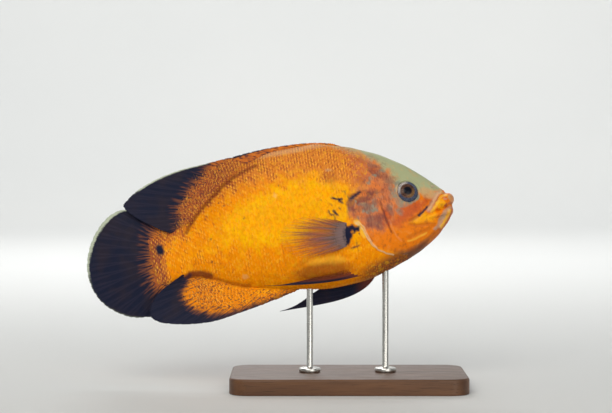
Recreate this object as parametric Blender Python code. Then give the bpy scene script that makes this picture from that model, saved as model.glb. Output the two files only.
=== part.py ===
"""Oscar fish: a life-size display model, gliding nose-up, held over a flat base by two short rods.

Sizes are in millimetres and are turned to metres by MM as each mesh is made. The fish is modelled in its own
frame: +X forward, +Z up, +Y its left side, with the origin in the middle of its length. One empty then tips it
nose-up and banks it. The stand is modelled in the world, with the origin in the middle of its underside.
"""

import math

import bmesh
import bpy
import numpy as np
from mathutils import Vector

MM = 0.001
GAP = 0.3  # clearance between pieces that touch
ACROSS = 60.0  # half length of a cutter that passes right through the fish from side to side

# The pose: how far the snout is raised, how far the belly is rolled to the fish's right, and the height of the
# middle of the fish over the floor.
NOSE_UP_DEG = 10.0
BANK_DEG = 8.0
SWIM_HEIGHT = 117.0

# The trunk from the tail root to the chin, without fins and lips: x, back, belly, half width, height of the
# widest point, then how pinched the section is above and below it (1 is an ellipse, more is a sharper ridge).
TRUNK = (
    (-86.0, 11.0, -25.4, 3.4, -7.2, 1.0, 1.0),
    (-76.0, 13.0, -26.6, 5.4, -7.0, 1.1, 1.1),
    (-62.0, 16.2, -25.4, 8.4, -4.0, 1.2, 1.2),
    (-47.0, 28.6, -29.2, 12.4, 0.0, 1.3, 1.25),
    (-30.0, 42.2, -37.2, 17.0, 2.0, 1.3, 1.3),
    (-10.0, 53.2, -42.2, 21.4, 2.0, 1.25, 1.25),
    (15.0, 59.4, -47.0, 25.0, 1.0, 1.15, 1.05),
    (40.0, 59.6, -50.4, 26.6, -3.0, 1.1, 0.9),
    (62.0, 54.9, -49.4, 26.2, -6.0, 1.0, 0.9),
    (84.0, 46.4, -44.0, 23.4, -5.0, 0.9, 1.0),
    (105.0, 34.0, -36.4, 18.6, -2.0, 0.85, 1.05),
    (120.0, 21.4, -28.0, 13.6, -3.0, 0.85, 1.0),
    (130.0, 11.8, -19.6, 9.2, -4.0, 0.9, 1.0),
    (135.0, 5.6, -13.8, 6.4, -4.5, 0.95, 1.0),
    (137.4, 1.0, -8.6, 4.2, -4.0, 1.0, 1.0),
)
TRUNK_STEP = 6.0  # between the rings of the trunk
TRUNK_SIDES = 30
SNOUT_FROM = 126.0  # the rings are closer ahead of here
SNOUT_RINGS = 6

# Curves in side view that part the trunk: behind the head, under the cheek, and ahead of the tail stalk.
HEAD_EDGE = ((62, 70), (67, 46), (72, 20), (70, 4), (72, -12), (80, -27), (91, -38), (97, -52))
MOUTH_EDGE = (
    (148, -4.4), (136, -4.4), (125, -6.6), (114.4, -9.0), (105, -13.5), (99, -21), (97, -31), (97, -48),
)
STALK_EDGE = ((-41, 50), (-46, 20), (-48, -2), (-46, -20), (-42, -46))

# The gill cover's outline in side view, its thickness and how far it stands proud.
GILL_COVER = (
    (86.0, 7.6), (80.5, 12.2), (73.4, 14.6), (66.6, 13.2), (61.2, 8.4), (58.4, 2.4), (60.0, -2.8), (65.4, -8.0),
    (68.6, -13.2), (70.0, -19.4), (73.6, -25.8), (79.6, -31.0), (88.0, -34.6), (94.6, -35.4), (97.6, -33.0),
    (93.4, -27.2), (90.2, -20.0), (88.6, -11.0), (87.4, -1.0),
)
GILL_COVER_POINTS = 34
GILL_COVER_THICK = 2.6
GILL_COVER_PROUD = 0.8

# The mouth: rolls of flesh along a horseshoe in plan, sloping down and back from the front to the corners. The
# fold is the edge of loose skin behind the upper lip.
MOUTH_CORNER = (119.4, -8.4)
MOUTH_CORNER_HALF_WIDTH = 12.2
UPPER_LIP = {"front": (135.9, 0.7), "front_r": (4.6, 4.6), "corner_rise": 1.9, "corner_r": (2.2, 2.2)}
LOWER_LIP = {"front": (134.8, -8.2), "front_r": (3.7, 3.4), "corner_rise": -2.6, "corner_r": (2.0, 1.9)}
LIP_FOLD = {"front": (132.6, 6.6), "front_r": (1.5, 1.7), "corner_rise": 3.6, "corner_r": (1.0, 1.0)}

EYE = (106.8, 9.4)
EYE_R = 8.0
EYE_DEPTH_R = 5.2  # half depth of the flattened ball, along the way it looks
EYE_PROUD = 2.6
ORBIT_RIM_R = 0.9
NOSTRIL = (125.7, 9.9)
NOSTRIL_R = 1.1

# Fins. A median fin is a root line, a margin line, its rays, and how far it sways to the fish's left. Points
# are (x, z) in side view. Membranes are thick at the root and thin at the margin.
SPINY_ROOT = ((62, 53.8), (40, 58.6), (15, 58.4), (-9, 52.6))
SPINY_MARGIN = ((58, 58.0), (36, 62.0), (10, 62.6), (-10, 61.6), (-23, 60.2))
SPINES = 13
SOFT_DORSAL_ROOT = ((-10, 51.4), (-30, 40.4), (-47, 27.0), (-60, 15.6))
SOFT_DORSAL_MARGIN = (
    (-24.5, 60.2), (-42, 58.8), (-60, 57.4), (-78, 53.6), (-93, 47.8), (-103, 41.0), (-105.6, 37.2),
    (-101.6, 33.2), (-94.0, 28.0), (-87.0, 23.6), (-79.8, 18.8), (-73.0, 16.0),
)
SOFT_DORSAL_RAYS = 19
ANAL_ROOT = ((14, -45.4), (-10, -41.0), (-30, -35.8), (-46, -27.6))
ANAL_MARGIN = (
    (4, -48.6), (-15, -53.2), (-34, -56.8), (-52, -59.6), (-70, -58.8), (-85, -55.8), (-91.2, -52.4),
    (-92.8, -46.0), (-90.6, -38.6), (-84.6, -32.8), (-76.4, -29.6), (-67.6, -28.8),
)
ANAL_RAYS = 18
TAIL_ROOT = ((-75.4, 11.2), (-81, 3), (-83.4, -7), (-81.6, -17), (-77.0, -24.8))
TAIL_MARGIN = (
    (-102, 35.8), (-112, 35.6), (-122, 30.8), (-131.4, 21.4), (-138.6, 9.0), (-141.8, -4.6), (-140.2, -18.0),
    (-134.6, -29.8), (-124.8, -39.2), (-113, -45.4), (-102.4, -47.8),
)
TAIL_RAYS = 16
DORSAL_SWAY = -4.0
ANAL_SWAY = -5.0
TAIL_SWAY = 7.0

ROOT_HALF_THICK = 1.3
MARGIN_HALF_THICK = 0.3
RAY_RIDGE = 0.35  # how far a ray stands out of the membrane at the root

# Paired fins: each ray runs from a root line to a margin line, in 3-D points for the fish's right side.
PECTORAL_ROOT = ((58.6, -6.6), (60.4, -12.0), (59.4, -17.6), (56.2, -22.6))
PECTORAL_MARGIN = (
    (40, -2.0, 5), (24, -2.2, 8), (12, -4.8, 10), (5.2, -11.0, 11.5), (6.2, -19.0, 11.5), (12.4, -26.0, 10),
    (25, -28.4, 8), (40, -27.2, 5),
)
PECTORAL_RAYS = 14
PECTORAL_SINK = 1.6  # how deep the root line lies under the skin
PELVIC_RAYS = 6
PELVIC_SINK = 2.4
# The right one lies back along the side of the belly and the left one hangs down. Their root lines are (x, y)
# seen from below; bow is how far the first ray bends out of a straight line, and facing the way they are thick.
PELVICS = {
    "pelvic_fin_right": {
        "root": ((65.0, -10.0), (53.0, -16.6)),
        "margin": (
            (-11.6, -14.6, -40.4), (0.0, -15.2, -41.2), (9.0, -16.0, -40.6), (18.0, -18.2, -38.8),
            (28.0, -21.6, -36.6), (38.0, -22.6, -36.8),
        ),
        "bow": (0.0, -3.4, -3.2),
        "facing": (0.0, 0.75, 0.66),
    },
    "pelvic_fin_left": {
        "root": ((69.0, 12.8), (64.4, 9.0)),
        "margin": (
            (-4.0, 19.5, -59.3), (6.3, 18.0, -57.6), (14.0, 16.0, -55.6), (20.0, 14.0, -53.6),
            (27.0, 12.2, -51.8), (37.0, 10.8, -50.6),
        ),
        "bow": (0.0, 0.0, -8.4),
        "facing": (0.0, 0.6, 0.8),
    },
}

# The stand.
BASE_LENGTH, BASE_WIDTH, BASE_HEIGHT = 176.0, 92.0, 12.0
BASE_CORNER_R = 14.0
BASE_EDGE_R = 1.6
ROD_R = 2.4
ROD_SIDES = 24
ROD_FOOT_R, ROD_FOOT_HEIGHT = 8.0, 3.0
ROD_PLACES = (80.0, 22.0)  # where each rod meets the belly, along the fish
ROD_INTO_BELLY = 3.0

ORANGE = (0.90, 0.33, 0.02, 1.0)
RUST = (0.52, 0.16, 0.06, 1.0)
AMBER = (0.85, 0.40, 0.09, 1.0)
NIGHT = (0.020, 0.022, 0.045, 1.0)
IRIS = (0.16, 0.07, 0.03, 1.0)
SMOKE = (0.40, 0.17, 0.08, 1.0)
WALNUT = (0.13, 0.065, 0.035, 1.0)
STEEL = (0.62, 0.62, 0.60, 1.0)


def smooth(table, at):
    """Each column of the table at the places `at` of its first column, on a smooth curve with no overshoot."""
    table = np.array(sorted(table), float)
    xs, rows = table[:, 0], table[:, 1:]
    step = np.diff(xs)[:, None]
    slope = np.diff(rows, axis=0) / step
    product, both = slope[:-1] * slope[1:], slope[:-1] + slope[1:]
    inner = np.where(product > 0, 2 * product / np.where(both == 0, 1, both), 0)
    tangent = np.vstack([slope[:1], inner, slope[-1:]])
    at = np.clip(np.asarray(at, float), xs[0], xs[-1])
    k = np.clip(np.searchsorted(xs, at, side="right") - 1, 0, len(xs) - 2)
    t = ((at - xs[k]) / (xs[k + 1] - xs[k]))[:, None]
    a, b, h = rows[k], rows[k + 1], step[k]
    return (
        a * (1 + 2 * t) * (1 - t) ** 2
        + b * t * t * (3 - 2 * t)
        + h * tangent[k] * t * (1 - t) ** 2
        - h * tangent[k + 1] * t * t * (1 - t)
    )


def curve_through(points, count, closed=False):
    """`count` points evenly spaced along a Catmull-Rom curve through the given ones."""
    p = np.array(points, float)
    ends = (p[-1:], p[:2]) if closed else (2 * p[:1] - p[1:2], 2 * p[-1:] - p[-2:-1])
    q = np.vstack([ends[0], p, ends[1]])
    spans = len(p) if closed else len(p) - 1
    t = np.linspace(0, 1, 16, endpoint=False)[:, None]
    fine = [
        0.5 * (2 * q[i + 1] + (q[i + 2] - q[i]) * t + (2 * q[i] - 5 * q[i + 1] + 4 * q[i + 2] - q[i + 3]) * t**2
               + (3 * q[i + 1] - q[i] - 3 * q[i + 2] + q[i + 3]) * t**3)
        for i in range(spans)
    ]
    fine = np.vstack([*fine, p[:1] if closed else p[-1:]])
    length = np.concatenate([[0], np.cumsum(np.linalg.norm(np.diff(fine, axis=0), axis=1))])
    at = np.linspace(0, length[-1], count, endpoint=not closed)
    return np.column_stack([np.interp(at, length, fine[:, i]) for i in range(p.shape[1])])


def section(x, grow=0.0):
    """Back, belly, half width, widest height and the two pinches of the trunk at x, grown outwards."""
    back, belly, half, widest, over, under = smooth(TRUNK, [x])[0]
    return back + grow, belly - grow, half + grow, widest, over, under


def half_width_at(x, z):
    """Distance from the middle plane to the trunk's skin at a place in side view."""
    back, belly, half, widest, over, under = section(x)
    share = (z - widest) / (back - widest if z > widest else widest - belly)
    return half * max(0.0, 1 - share * share) ** ((over if z > widest else under) / 2)


def underside_at(x, y):
    """Height of the trunk's underside at a place seen from below."""
    back, belly, half, widest, over, under = section(x)
    return widest - (widest - belly) * math.sqrt(1 - (abs(y) / half) ** (2 / under))


def ring(x, grow):
    """The points of one cross-section of the trunk, from the right side up over the back."""
    back, belly, half, widest, over, under = section(x, grow)
    turn = np.linspace(0, 2 * math.pi, TRUNK_SIDES, endpoint=False)
    c, s = np.cos(turn), np.sin(turn)
    pinch = np.where(s > 0, over, under)
    y = -half * np.sign(c) * np.abs(c) ** pinch
    z = widest + np.where(s > 0, back - widest, widest - belly) * s
    return np.column_stack([np.full(TRUNK_SIDES, x), y, z])


def new_object(name, vertices, faces):
    """A mesh object in metres from millimetre points, with its faces turned outwards."""
    mesh = bpy.data.meshes.new(name)
    mesh.from_pydata([tuple(float(c) * MM for c in v) for v in vertices], [], faces)
    obj = bpy.data.objects.new(name, mesh)
    bpy.context.scene.collection.objects.link(obj)
    bm = bmesh.new()
    bm.from_mesh(mesh)
    bmesh.ops.recalc_face_normals(bm, faces=bm.faces)
    if bm.calc_volume(signed=True) < 0:
        bmesh.ops.reverse_faces(bm, faces=bm.faces)
    bm.to_mesh(mesh)
    bm.free()
    return obj


def tube(name, rings):
    """A closed skin over equal rings of points, with a flat cap at each end."""
    sides = len(rings[0])
    vertices = np.vstack(rings)
    faces = [tuple(range(sides - 1, -1, -1)), tuple(range(len(vertices) - sides, len(vertices)))]
    for i in range(len(rings) - 1):
        for j in range(sides):
            a, b = i * sides + j, i * sides + (j + 1) % sides
            faces.append((a, b, b + sides, a + sides))
    return new_object(name, vertices, faces)


def trunk(name, grow=0.0):
    """The whole trunk as one closed body, grown outwards by `grow`."""
    first, last = TRUNK[0][0], TRUNK[-1][0]
    places = np.linspace(first, SNOUT_FROM, round((SNOUT_FROM - first) / TRUNK_STEP))
    places = np.concatenate([places[:-1], np.linspace(SNOUT_FROM, last, SNOUT_RINGS)])
    rings = [ring(x, grow) for x in places]
    rings[0][:, 0] -= grow
    rings[-1][:, 0] += grow
    return tube(name, rings)


def prism(name, outline, low, high):
    """A side-view outline extruded across the fish, from y `low` to y `high`."""
    count = len(outline)
    vertices = [(x, y, z) for y in (low, high) for x, z in outline]
    faces = [tuple(range(count)), tuple(range(2 * count - 1, count - 1, -1))]
    faces += [(i, (i + 1) % count, (i + 1) % count + count, i + count) for i in range(count)]
    return new_object(name, vertices, faces)


def normals_of(points, closed=False):
    """Unit normals of a plane curve."""
    if closed:
        along = np.roll(points, -1, axis=0) - np.roll(points, 1, axis=0)
    else:
        along = np.gradient(points, axis=0)
    side = np.column_stack([along[:, 1], -along[:, 0]])
    return side / np.linalg.norm(side, axis=1)[:, None]


def parting_wall(name, edge, count=16):
    """A thin wall right across the fish that follows a side-view curve, to part the trunk there."""
    line = curve_through(edge, count)
    side = normals_of(line) * GAP / 2
    return prism(name, [*(line + side), *(line - side)[::-1]], -ACROSS, ACROSS)


def boolean(obj, tool, operation, keep_tool=False):
    """Applies one Boolean of `tool` to `obj`, and removes the tool."""
    modifier = obj.modifiers.new(operation.title(), "BOOLEAN")
    modifier.operation = operation
    modifier.solver = "EXACT"
    modifier.object = tool
    bpy.context.view_layer.update()
    graph = bpy.context.evaluated_depsgraph_get()
    result = bpy.data.meshes.new_from_object(obj.evaluated_get(graph))
    obj.modifiers.clear()
    obj.data = result
    if not keep_tool:
        bpy.data.objects.remove(tool)
    return obj


def union_all(name, pieces):
    """Fuses closed mesh objects into the first, by one Boolean on a collection."""
    first, rest = pieces[0], pieces[1:]
    group = bpy.data.collections.new(name + "_pieces")
    bpy.context.scene.collection.children.link(group)
    for piece in rest:
        bpy.context.scene.collection.objects.unlink(piece)
        group.objects.link(piece)
    modifier = first.modifiers.new("Union", "BOOLEAN")
    modifier.operation = "UNION"
    modifier.solver = "EXACT"
    modifier.operand_type = "COLLECTION"
    modifier.collection = group
    bpy.context.view_layer.update()
    graph = bpy.context.evaluated_depsgraph_get()
    result = bpy.data.meshes.new_from_object(first.evaluated_get(graph))
    first.modifiers.clear()
    first.data = result
    for piece in list(group.objects):
        bpy.data.objects.remove(piece)
    bpy.data.collections.remove(group)
    first.name = name
    return first


def shells(obj):
    """The separate closed surfaces of an object, as new objects, largest first. The object is removed."""
    bm = bmesh.new()
    bm.from_mesh(obj.data)
    bm.verts.ensure_lookup_table()
    label = [-1] * len(bm.verts)
    groups = []
    for start in bm.verts:
        if label[start.index] >= 0:
            continue
        label[start.index] = len(groups)
        members, stack = [], [start]
        while stack:
            vertex = stack.pop()
            members.append(vertex.index)
            for edge in vertex.link_edges:
                other = edge.other_vert(vertex)
                if label[other.index] < 0:
                    label[other.index] = len(groups)
                    stack.append(other)
        groups.append(members)
    made = []
    for members in sorted(groups, key=len, reverse=True):
        place = {old: new for new, old in enumerate(members)}
        vertices = [bm.verts[i].co / MM for i in members]
        faces = [tuple(place[v.index] for v in f.verts) for f in bm.faces if f.verts[0].index in place]
        made.append(new_object(obj.name, vertices, faces))
    bm.free()
    bpy.data.objects.remove(obj)
    return made


def only_body(obj, name):
    """The largest closed surface of an object, under its node's name."""
    kept, *scraps = shells(obj)
    for scrap in scraps:
        bpy.data.objects.remove(scrap)
    kept.name = name
    return kept


def middle(obj):
    """Middle of an object's box, in millimetres."""
    points = np.array([v.co for v in obj.data.vertices]) / MM
    return (points.min(axis=0) + points.max(axis=0)) / 2


def frame_on(normal):
    """Two unit directions across `normal`: one level, and one upright."""
    level = np.cross(normal, (0, 0, 1.0))
    level /= np.linalg.norm(level)
    return level, np.cross(level, normal)


def ball(name, centre, normal, around_r, depth_r, rows=8, sides=18):
    """A closed ball flattened along `normal`."""
    level, upright = frame_on(normal)
    turn = np.linspace(0, 2 * math.pi, sides, endpoint=False)[:, None]
    rings = []
    for i in range(1, rows):
        tilt = math.pi * i / rows
        around = (np.cos(turn) * level + np.sin(turn) * upright) * math.sin(tilt) * around_r
        rings.append(centre + around - normal * math.cos(tilt) * depth_r)
    return tube(name, rings)


def torus(name, centre, normal, big_r, small_r, sides=20, section_sides=5):
    """A closed ring round `normal` through `centre`."""
    level, upright = frame_on(normal)
    vertices, faces = [], []
    for i in range(sides):
        turn = 2 * math.pi * i / sides
        out = math.cos(turn) * level + math.sin(turn) * upright
        for j in range(section_sides):
            tilt = 2 * math.pi * j / section_sides
            reach = big_r + small_r * math.cos(tilt)
            vertices.append(centre + out * reach + normal * small_r * math.sin(tilt))
            a, b = i * section_sides + j, i * section_sides + (j + 1) % section_sides
            c, d = ((k + section_sides) % (sides * section_sides) for k in (a, b))
            faces.append((a, b, d, c))
    return new_object(name, vertices, faces)


def lip(name, shape, grow=0.0, steps=16, sides=8):
    """A fleshy roll along the mouth's horseshoe, thick in front and thin at the corners."""
    corner = np.array(MOUTH_CORNER)
    front = np.array(shape["front"])
    rings = []
    for angle in np.linspace(-math.pi / 2, math.pi / 2, steps):
        back = (abs(angle) / (math.pi / 2)) ** 1.6
        ahead = math.cos(angle)
        radii = np.array(shape["front_r"]) * (1 - back) + np.array(shape["corner_r"]) * back + grow
        x = corner[0] + (front[0] - corner[0]) * ahead
        z = corner[1] + shape["corner_rise"] + (front[1] - corner[1] - shape["corner_rise"]) * ahead
        y = MOUTH_CORNER_HALF_WIDTH * math.sin(angle)
        out = np.array([MOUTH_CORNER_HALF_WIDTH * math.cos(angle), (front[0] - corner[0]) * math.sin(angle)])
        out /= np.linalg.norm(out)
        turn = np.linspace(0, 2 * math.pi, sides, endpoint=False)
        reach = radii[0] * np.cos(turn)
        rings.append(np.column_stack([x + out[0] * reach, y + out[1] * reach, z + radii[1] * np.sin(turn)]))
    for end in (0, -1):
        middle_of_end = rings[end].mean(axis=0)
        tip = middle_of_end + (rings[end] - middle_of_end) * 0.45
        tip[:, 0] -= radii[0]
        rings.insert(0 if end == 0 else len(rings), tip)
    return tube(name, rings)


def fin(name, root, margin, rays, rows=7, root_half=ROOT_HALF_THICK, ridge=RAY_RIDGE, sway=None, facing=None):
    """A fin as one closed sheet. `root` and `margin` are (x, y, z) lines that the rays join, evenly spread. The
    sheet is thick at the root and thin at the margin, and each ray is a ridge raised on both faces. Both faces
    are split into triangles the same way, so they can't cross where the sheet bends. A narrow fin is made thick
    along `facing`."""
    columns = 2 * rays - 1
    a, b = curve_through(root, columns), curve_through(margin, columns)
    u = np.linspace(0, 1, rows) ** 0.9
    sheet = a[None] + (b - a)[None] * u[:, None, None]
    if sway is not None:
        sheet = sheet + sway(u, np.linspace(0, 1, columns))
    normal = np.cross(np.gradient(sheet, axis=1), np.gradient(sheet, axis=0))
    normal /= np.linalg.norm(normal, axis=2)[:, :, None]
    if facing is not None:
        normal = np.broadcast_to(facing, sheet.shape)
    is_ray = (np.arange(columns) % 2 == 0).astype(float)
    thick = root_half + (MARGIN_HALF_THICK - root_half) * u[:, None] ** 0.7
    thick = thick + is_ray[None] * (ridge * (1 - 0.55 * u))[:, None]
    thick[-1] = MARGIN_HALF_THICK
    vertices = np.vstack([(sheet + side * normal * thick[:, :, None]).reshape(-1, 3) for side in (1, -1)])
    count = rows * columns
    faces = []
    for i in range(rows - 1):
        for j in range(columns - 1):
            p, q, r, s = (k * columns + m for k, m in ((i, j), (i, j + 1), (i + 1, j + 1), (i + 1, j)))
            faces += [(p, q, r), (p, r, s)]
            faces += [(p + count, r + count, q + count), (p + count, s + count, r + count)]
    border = list(range(columns))
    border += [i * columns + columns - 1 for i in range(1, rows)]
    border += [(rows - 1) * columns + j for j in range(columns - 2, -1, -1)]
    border += [i * columns for i in range(rows - 2, 0, -1)]
    for p, q in zip(border, border[1:] + border[:1]):
        faces += [(p, p + count, q + count), (p, q + count, q)]
    return new_object(name, vertices, faces)


def flat_sway(reach, power=1.6, lean=0.35):
    """A gentle sideways sweep of a median fin: none at the root, `reach` at the margin's rear end."""

    def offset(u, v):
        out = np.zeros((len(u), len(v), 3))
        out[:, :, 1] = reach * (u**power)[:, None] * (lean + (1 - lean) * v)[None]
        return out

    return offset


def bowed(reach):
    """A fin whose first ray bends out by the vector `reach`, and the others less and less."""

    def offset(u, v):
        bend = np.sin(math.pi * u**0.8)[:, None] * (1 - 0.8 * v)[None]
        return bend[:, :, None] * np.array(reach)

    return offset


def on_plane(points):
    """Side-view points as 3-D points in the fish's middle plane."""
    return [(x, 0.0, z) for x, z in points]


def on_skin(points, side, sink):
    """Side-view points set into the trunk's skin on one side, `sink` deep."""
    return [(x, side * (half_width_at(x, z) - sink), z) for x, z in points]


def clear_of_trunk(obj, name, grow=GAP):
    """Cuts a piece back to the trunk's skin, less the clearance."""
    return only_body(boolean(obj, trunk("trunk_clear", grow), "DIFFERENCE"), name)


def paint(obj, colour, roughness, metallic=0.0):
    """Gives an object its own material and smooth shading."""
    material = bpy.data.materials.new(obj.name)
    material.use_nodes = True
    shader = material.node_tree.nodes["Principled BSDF"]
    shader.inputs["Base Color"].default_value = colour
    shader.inputs["Roughness"].default_value = roughness
    shader.inputs["Metallic"].default_value = metallic
    material.diffuse_color = colour
    obj.data.materials.clear()
    obj.data.materials.append(material)
    obj.data.shade_smooth()
    obj.data.set_sharp_from_angle(angle=math.radians(40))
    return obj


def make_trunk():
    """Head, lower jaw, torso and tail stalk: one trunk, parted by thin walls."""
    whole = trunk("trunk")
    for name, edge in (("head_wall", HEAD_EDGE), ("mouth_wall", MOUTH_EDGE), ("stalk_wall", STALK_EDGE)):
        boolean(whole, parting_wall(name, edge), "DIFFERENCE")
    pieces = sorted(shells(whole), key=lambda piece: middle(piece)[0])
    stalk, torso, head, jaw = pieces
    for piece, name in zip(pieces, ("tail_stalk", "torso", "head", "lower_jaw")):
        piece.name = name
    return stalk, torso, head, jaw


def make_gill_covers():
    """A curved plate on each cheek, whose rear edge lies over the shoulder."""
    outline = curve_through(GILL_COVER, GILL_COVER_POINTS, closed=True)
    cutter = prism("cover_outline", outline, -ACROSS, ACROSS)
    plates = boolean(trunk("gill_cover", GILL_COVER_PROUD), cutter, "INTERSECT")
    boolean(plates, trunk("core", GILL_COVER_PROUD - GILL_COVER_THICK), "DIFFERENCE")
    right, left = sorted(shells(plates)[:2], key=lambda piece: middle(piece)[1])
    right.name, left.name = "gill_cover_right", "gill_cover_left"
    return right, left


def gill_pocket():
    """The recess that both gill covers sit in, as a cutter."""
    outline = curve_through(GILL_COVER, GILL_COVER_POINTS, closed=True)
    grown = outline + normals_of(outline, closed=True) * GAP * outward_sign(outline)
    pocket = prism("gill_pocket", grown, -ACROSS, ACROSS)
    return boolean(pocket, trunk("core", GILL_COVER_PROUD - GILL_COVER_THICK - GAP), "DIFFERENCE")


def outward_sign(outline):
    """1 if normals_of points out of this closed outline, or -1."""
    x, z = outline[:, 0], outline[:, 1]
    area = np.sum(x * np.roll(z, -1) - np.roll(x, -1) * z)
    return 1.0 if area > 0 else -1.0


def skin_point(x, z, side):
    """A place on the trunk's skin, and the direction out of it."""
    step = 1.0
    along = half_width_at(x + step, z) - half_width_at(x - step, z)
    up = half_width_at(x, z + step) - half_width_at(x, z - step)
    normal = np.array([-along / (2 * step), side, -up / (2 * step)])
    return np.array([x, side * half_width_at(x, z), z]), normal / np.linalg.norm(normal)


def make_face(head):
    """The eyeballs, and on the head their sockets with low rims, the nostrils and the lip's fold."""
    pieces = [head, lip("fold", LIP_FOLD)]
    for side in (-1, 1):
        at_eye, out = skin_point(*EYE, side)
        pieces.append(torus("rim", at_eye + out * 0.1, out, EYE_R + 0.9, ORBIT_RIM_R))
        at_nostril, out = skin_point(*NOSTRIL, side)
        pieces.append(torus("nostril_rim", at_nostril, out, NOSTRIL_R + 0.5, 0.5, 10, 5))
    head = union_all("head", pieces)
    balls = []
    for side, name in ((-1, "eye_right"), (1, "eye_left")):
        at_eye, out = skin_point(*EYE, side)
        centre = at_eye + out * (EYE_PROUD - EYE_DEPTH_R)
        boolean(head, ball("socket", centre, out, EYE_R + GAP, EYE_DEPTH_R + GAP), "DIFFERENCE")
        balls.append(ball(name, centre, out, EYE_R, EYE_DEPTH_R))
        at_nostril, out = skin_point(*NOSTRIL, side)
        boolean(head, ball("pit", at_nostril + out * 0.2, out, NOSTRIL_R, NOSTRIL_R, 5, 8), "DIFFERENCE")
    return head, *balls


def make_lips(head, jaw):
    """The two lips, and the head and jaw cut back to them."""
    for body in (head, jaw):
        for shape in (UPPER_LIP, LOWER_LIP):
            boolean(body, lip("lip_clear", shape, GAP), "DIFFERENCE")
    return lip("upper_lip", UPPER_LIP), lip("lower_lip", LOWER_LIP)


def make_median_fins():
    """The folded spiny dorsal, the soft dorsal, the tail fin and the anal fin."""
    spiny = fin(
        "dorsal_fin_spiny", on_plane(SPINY_ROOT), on_plane(SPINY_MARGIN), SPINES, rows=4, root_half=1.0,
        ridge=0.5,
    )
    dorsal = fin(
        "dorsal_fin_soft", on_plane(SOFT_DORSAL_ROOT), on_plane(SOFT_DORSAL_MARGIN), SOFT_DORSAL_RAYS,
        sway=flat_sway(DORSAL_SWAY),
    )
    anal = fin("anal_fin", on_plane(ANAL_ROOT), on_plane(ANAL_MARGIN), ANAL_RAYS, sway=flat_sway(ANAL_SWAY))
    tail = fin(
        "tail_fin", on_plane(TAIL_ROOT), on_plane(TAIL_MARGIN), TAIL_RAYS, root_half=1.6,
        sway=flat_sway(TAIL_SWAY, lean=1.0),
    )
    return [clear_of_trunk(piece, piece.name) for piece in (spiny, dorsal, anal, tail)]


def make_paired_fins():
    """Pectoral and pelvic fins of both sides."""
    made = []
    for side, name in ((-1, "pectoral_fin_right"), (1, "pectoral_fin_left")):
        margin = [(x, side * (half_width_at(x, z) + out), z) for x, z, out in PECTORAL_MARGIN]
        root = on_skin(PECTORAL_ROOT, side, PECTORAL_SINK)
        made.append(fin(name, root, margin, PECTORAL_RAYS, rows=6, root_half=1.1))
    for name, shape in PELVICS.items():
        root = [(x, y, underside_at(x, y) + PELVIC_SINK) for x, y in shape["root"]]
        made.append(fin(
            name, root, shape["margin"], PELVIC_RAYS, rows=8, root_half=1.0, ridge=0.25,
            sway=bowed(shape["bow"]), facing=shape["facing"],
        ))
    return [clear_of_trunk(piece, piece.name) for piece in made]


def fish_pose(location):
    """The empty that tips the fish nose-up and rolls its belly to its right."""
    empty = bpy.data.objects.new("fish_pose", None)
    bpy.context.scene.collection.objects.link(empty)
    empty.location = [c * MM for c in location]
    empty.rotation_euler = (-math.radians(BANK_DEG), -math.radians(NOSE_UP_DEG), 0)
    bpy.context.view_layer.update()
    return empty


def belly_point(x):
    """The lowest point of the belly at x, in the fish's frame."""
    return Vector((x, 0, section(x)[1]))


def make_base():
    """A flat slab with round corners and softened edges."""
    outline = []
    for cx, cy, start in ((1, 1, 0), (-1, 1, 90), (-1, -1, 180), (1, -1, 270)):
        for step in range(7):
            turn = math.radians(start + 15 * step)
            outline.append((
                cx * (BASE_LENGTH / 2 - BASE_CORNER_R) + BASE_CORNER_R * math.cos(turn),
                cy * (BASE_WIDTH / 2 - BASE_CORNER_R) + BASE_CORNER_R * math.sin(turn),
            ))
    rings = []
    for inset, z in (
        (0.5, 0.0), (0.0, 0.5), (0.0, BASE_HEIGHT - BASE_EDGE_R),
        (0.29 * BASE_EDGE_R, BASE_HEIGHT - 0.29 * BASE_EDGE_R), (BASE_EDGE_R, BASE_HEIGHT),
    ):
        shrink = [(x * (1 - 2 * inset / BASE_LENGTH), y * (1 - 2 * inset / BASE_WIDTH), z) for x, y in outline]
        rings.append(np.array(shrink))
    return tube("stand_base", rings)


def make_rod(name, place, pose):
    """A turned rod with a flanged foot, standing on the base and cut to the belly over it."""
    top = (pose.matrix_world @ (belly_point(place) * MM)) / MM
    foot = BASE_HEIGHT + GAP
    profile = (
        (ROD_FOOT_R - 0.4, foot), (ROD_FOOT_R, foot + 0.4), (ROD_FOOT_R, foot + ROD_FOOT_HEIGHT - 0.8),
        (ROD_FOOT_R - 0.8, foot + ROD_FOOT_HEIGHT), (ROD_R + 1.2, foot + ROD_FOOT_HEIGHT),
        (ROD_R, foot + ROD_FOOT_HEIGHT + 1.2), (ROD_R, top.z + ROD_INTO_BELLY),
    )
    turn = np.linspace(0, 2 * math.pi, ROD_SIDES, endpoint=False)
    circle = np.column_stack([np.cos(turn), np.sin(turn)])
    middle_line = np.array([top.x, top.y])
    rings = [np.column_stack([middle_line + circle * r, np.full(ROD_SIDES, z)]) for r, z in profile]
    rod = tube(name, rings)
    cutter = trunk("trunk_clear", GAP)
    cutter.matrix_world = pose.matrix_world
    return only_body(boolean(rod, cutter, "DIFFERENCE"), name)


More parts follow.
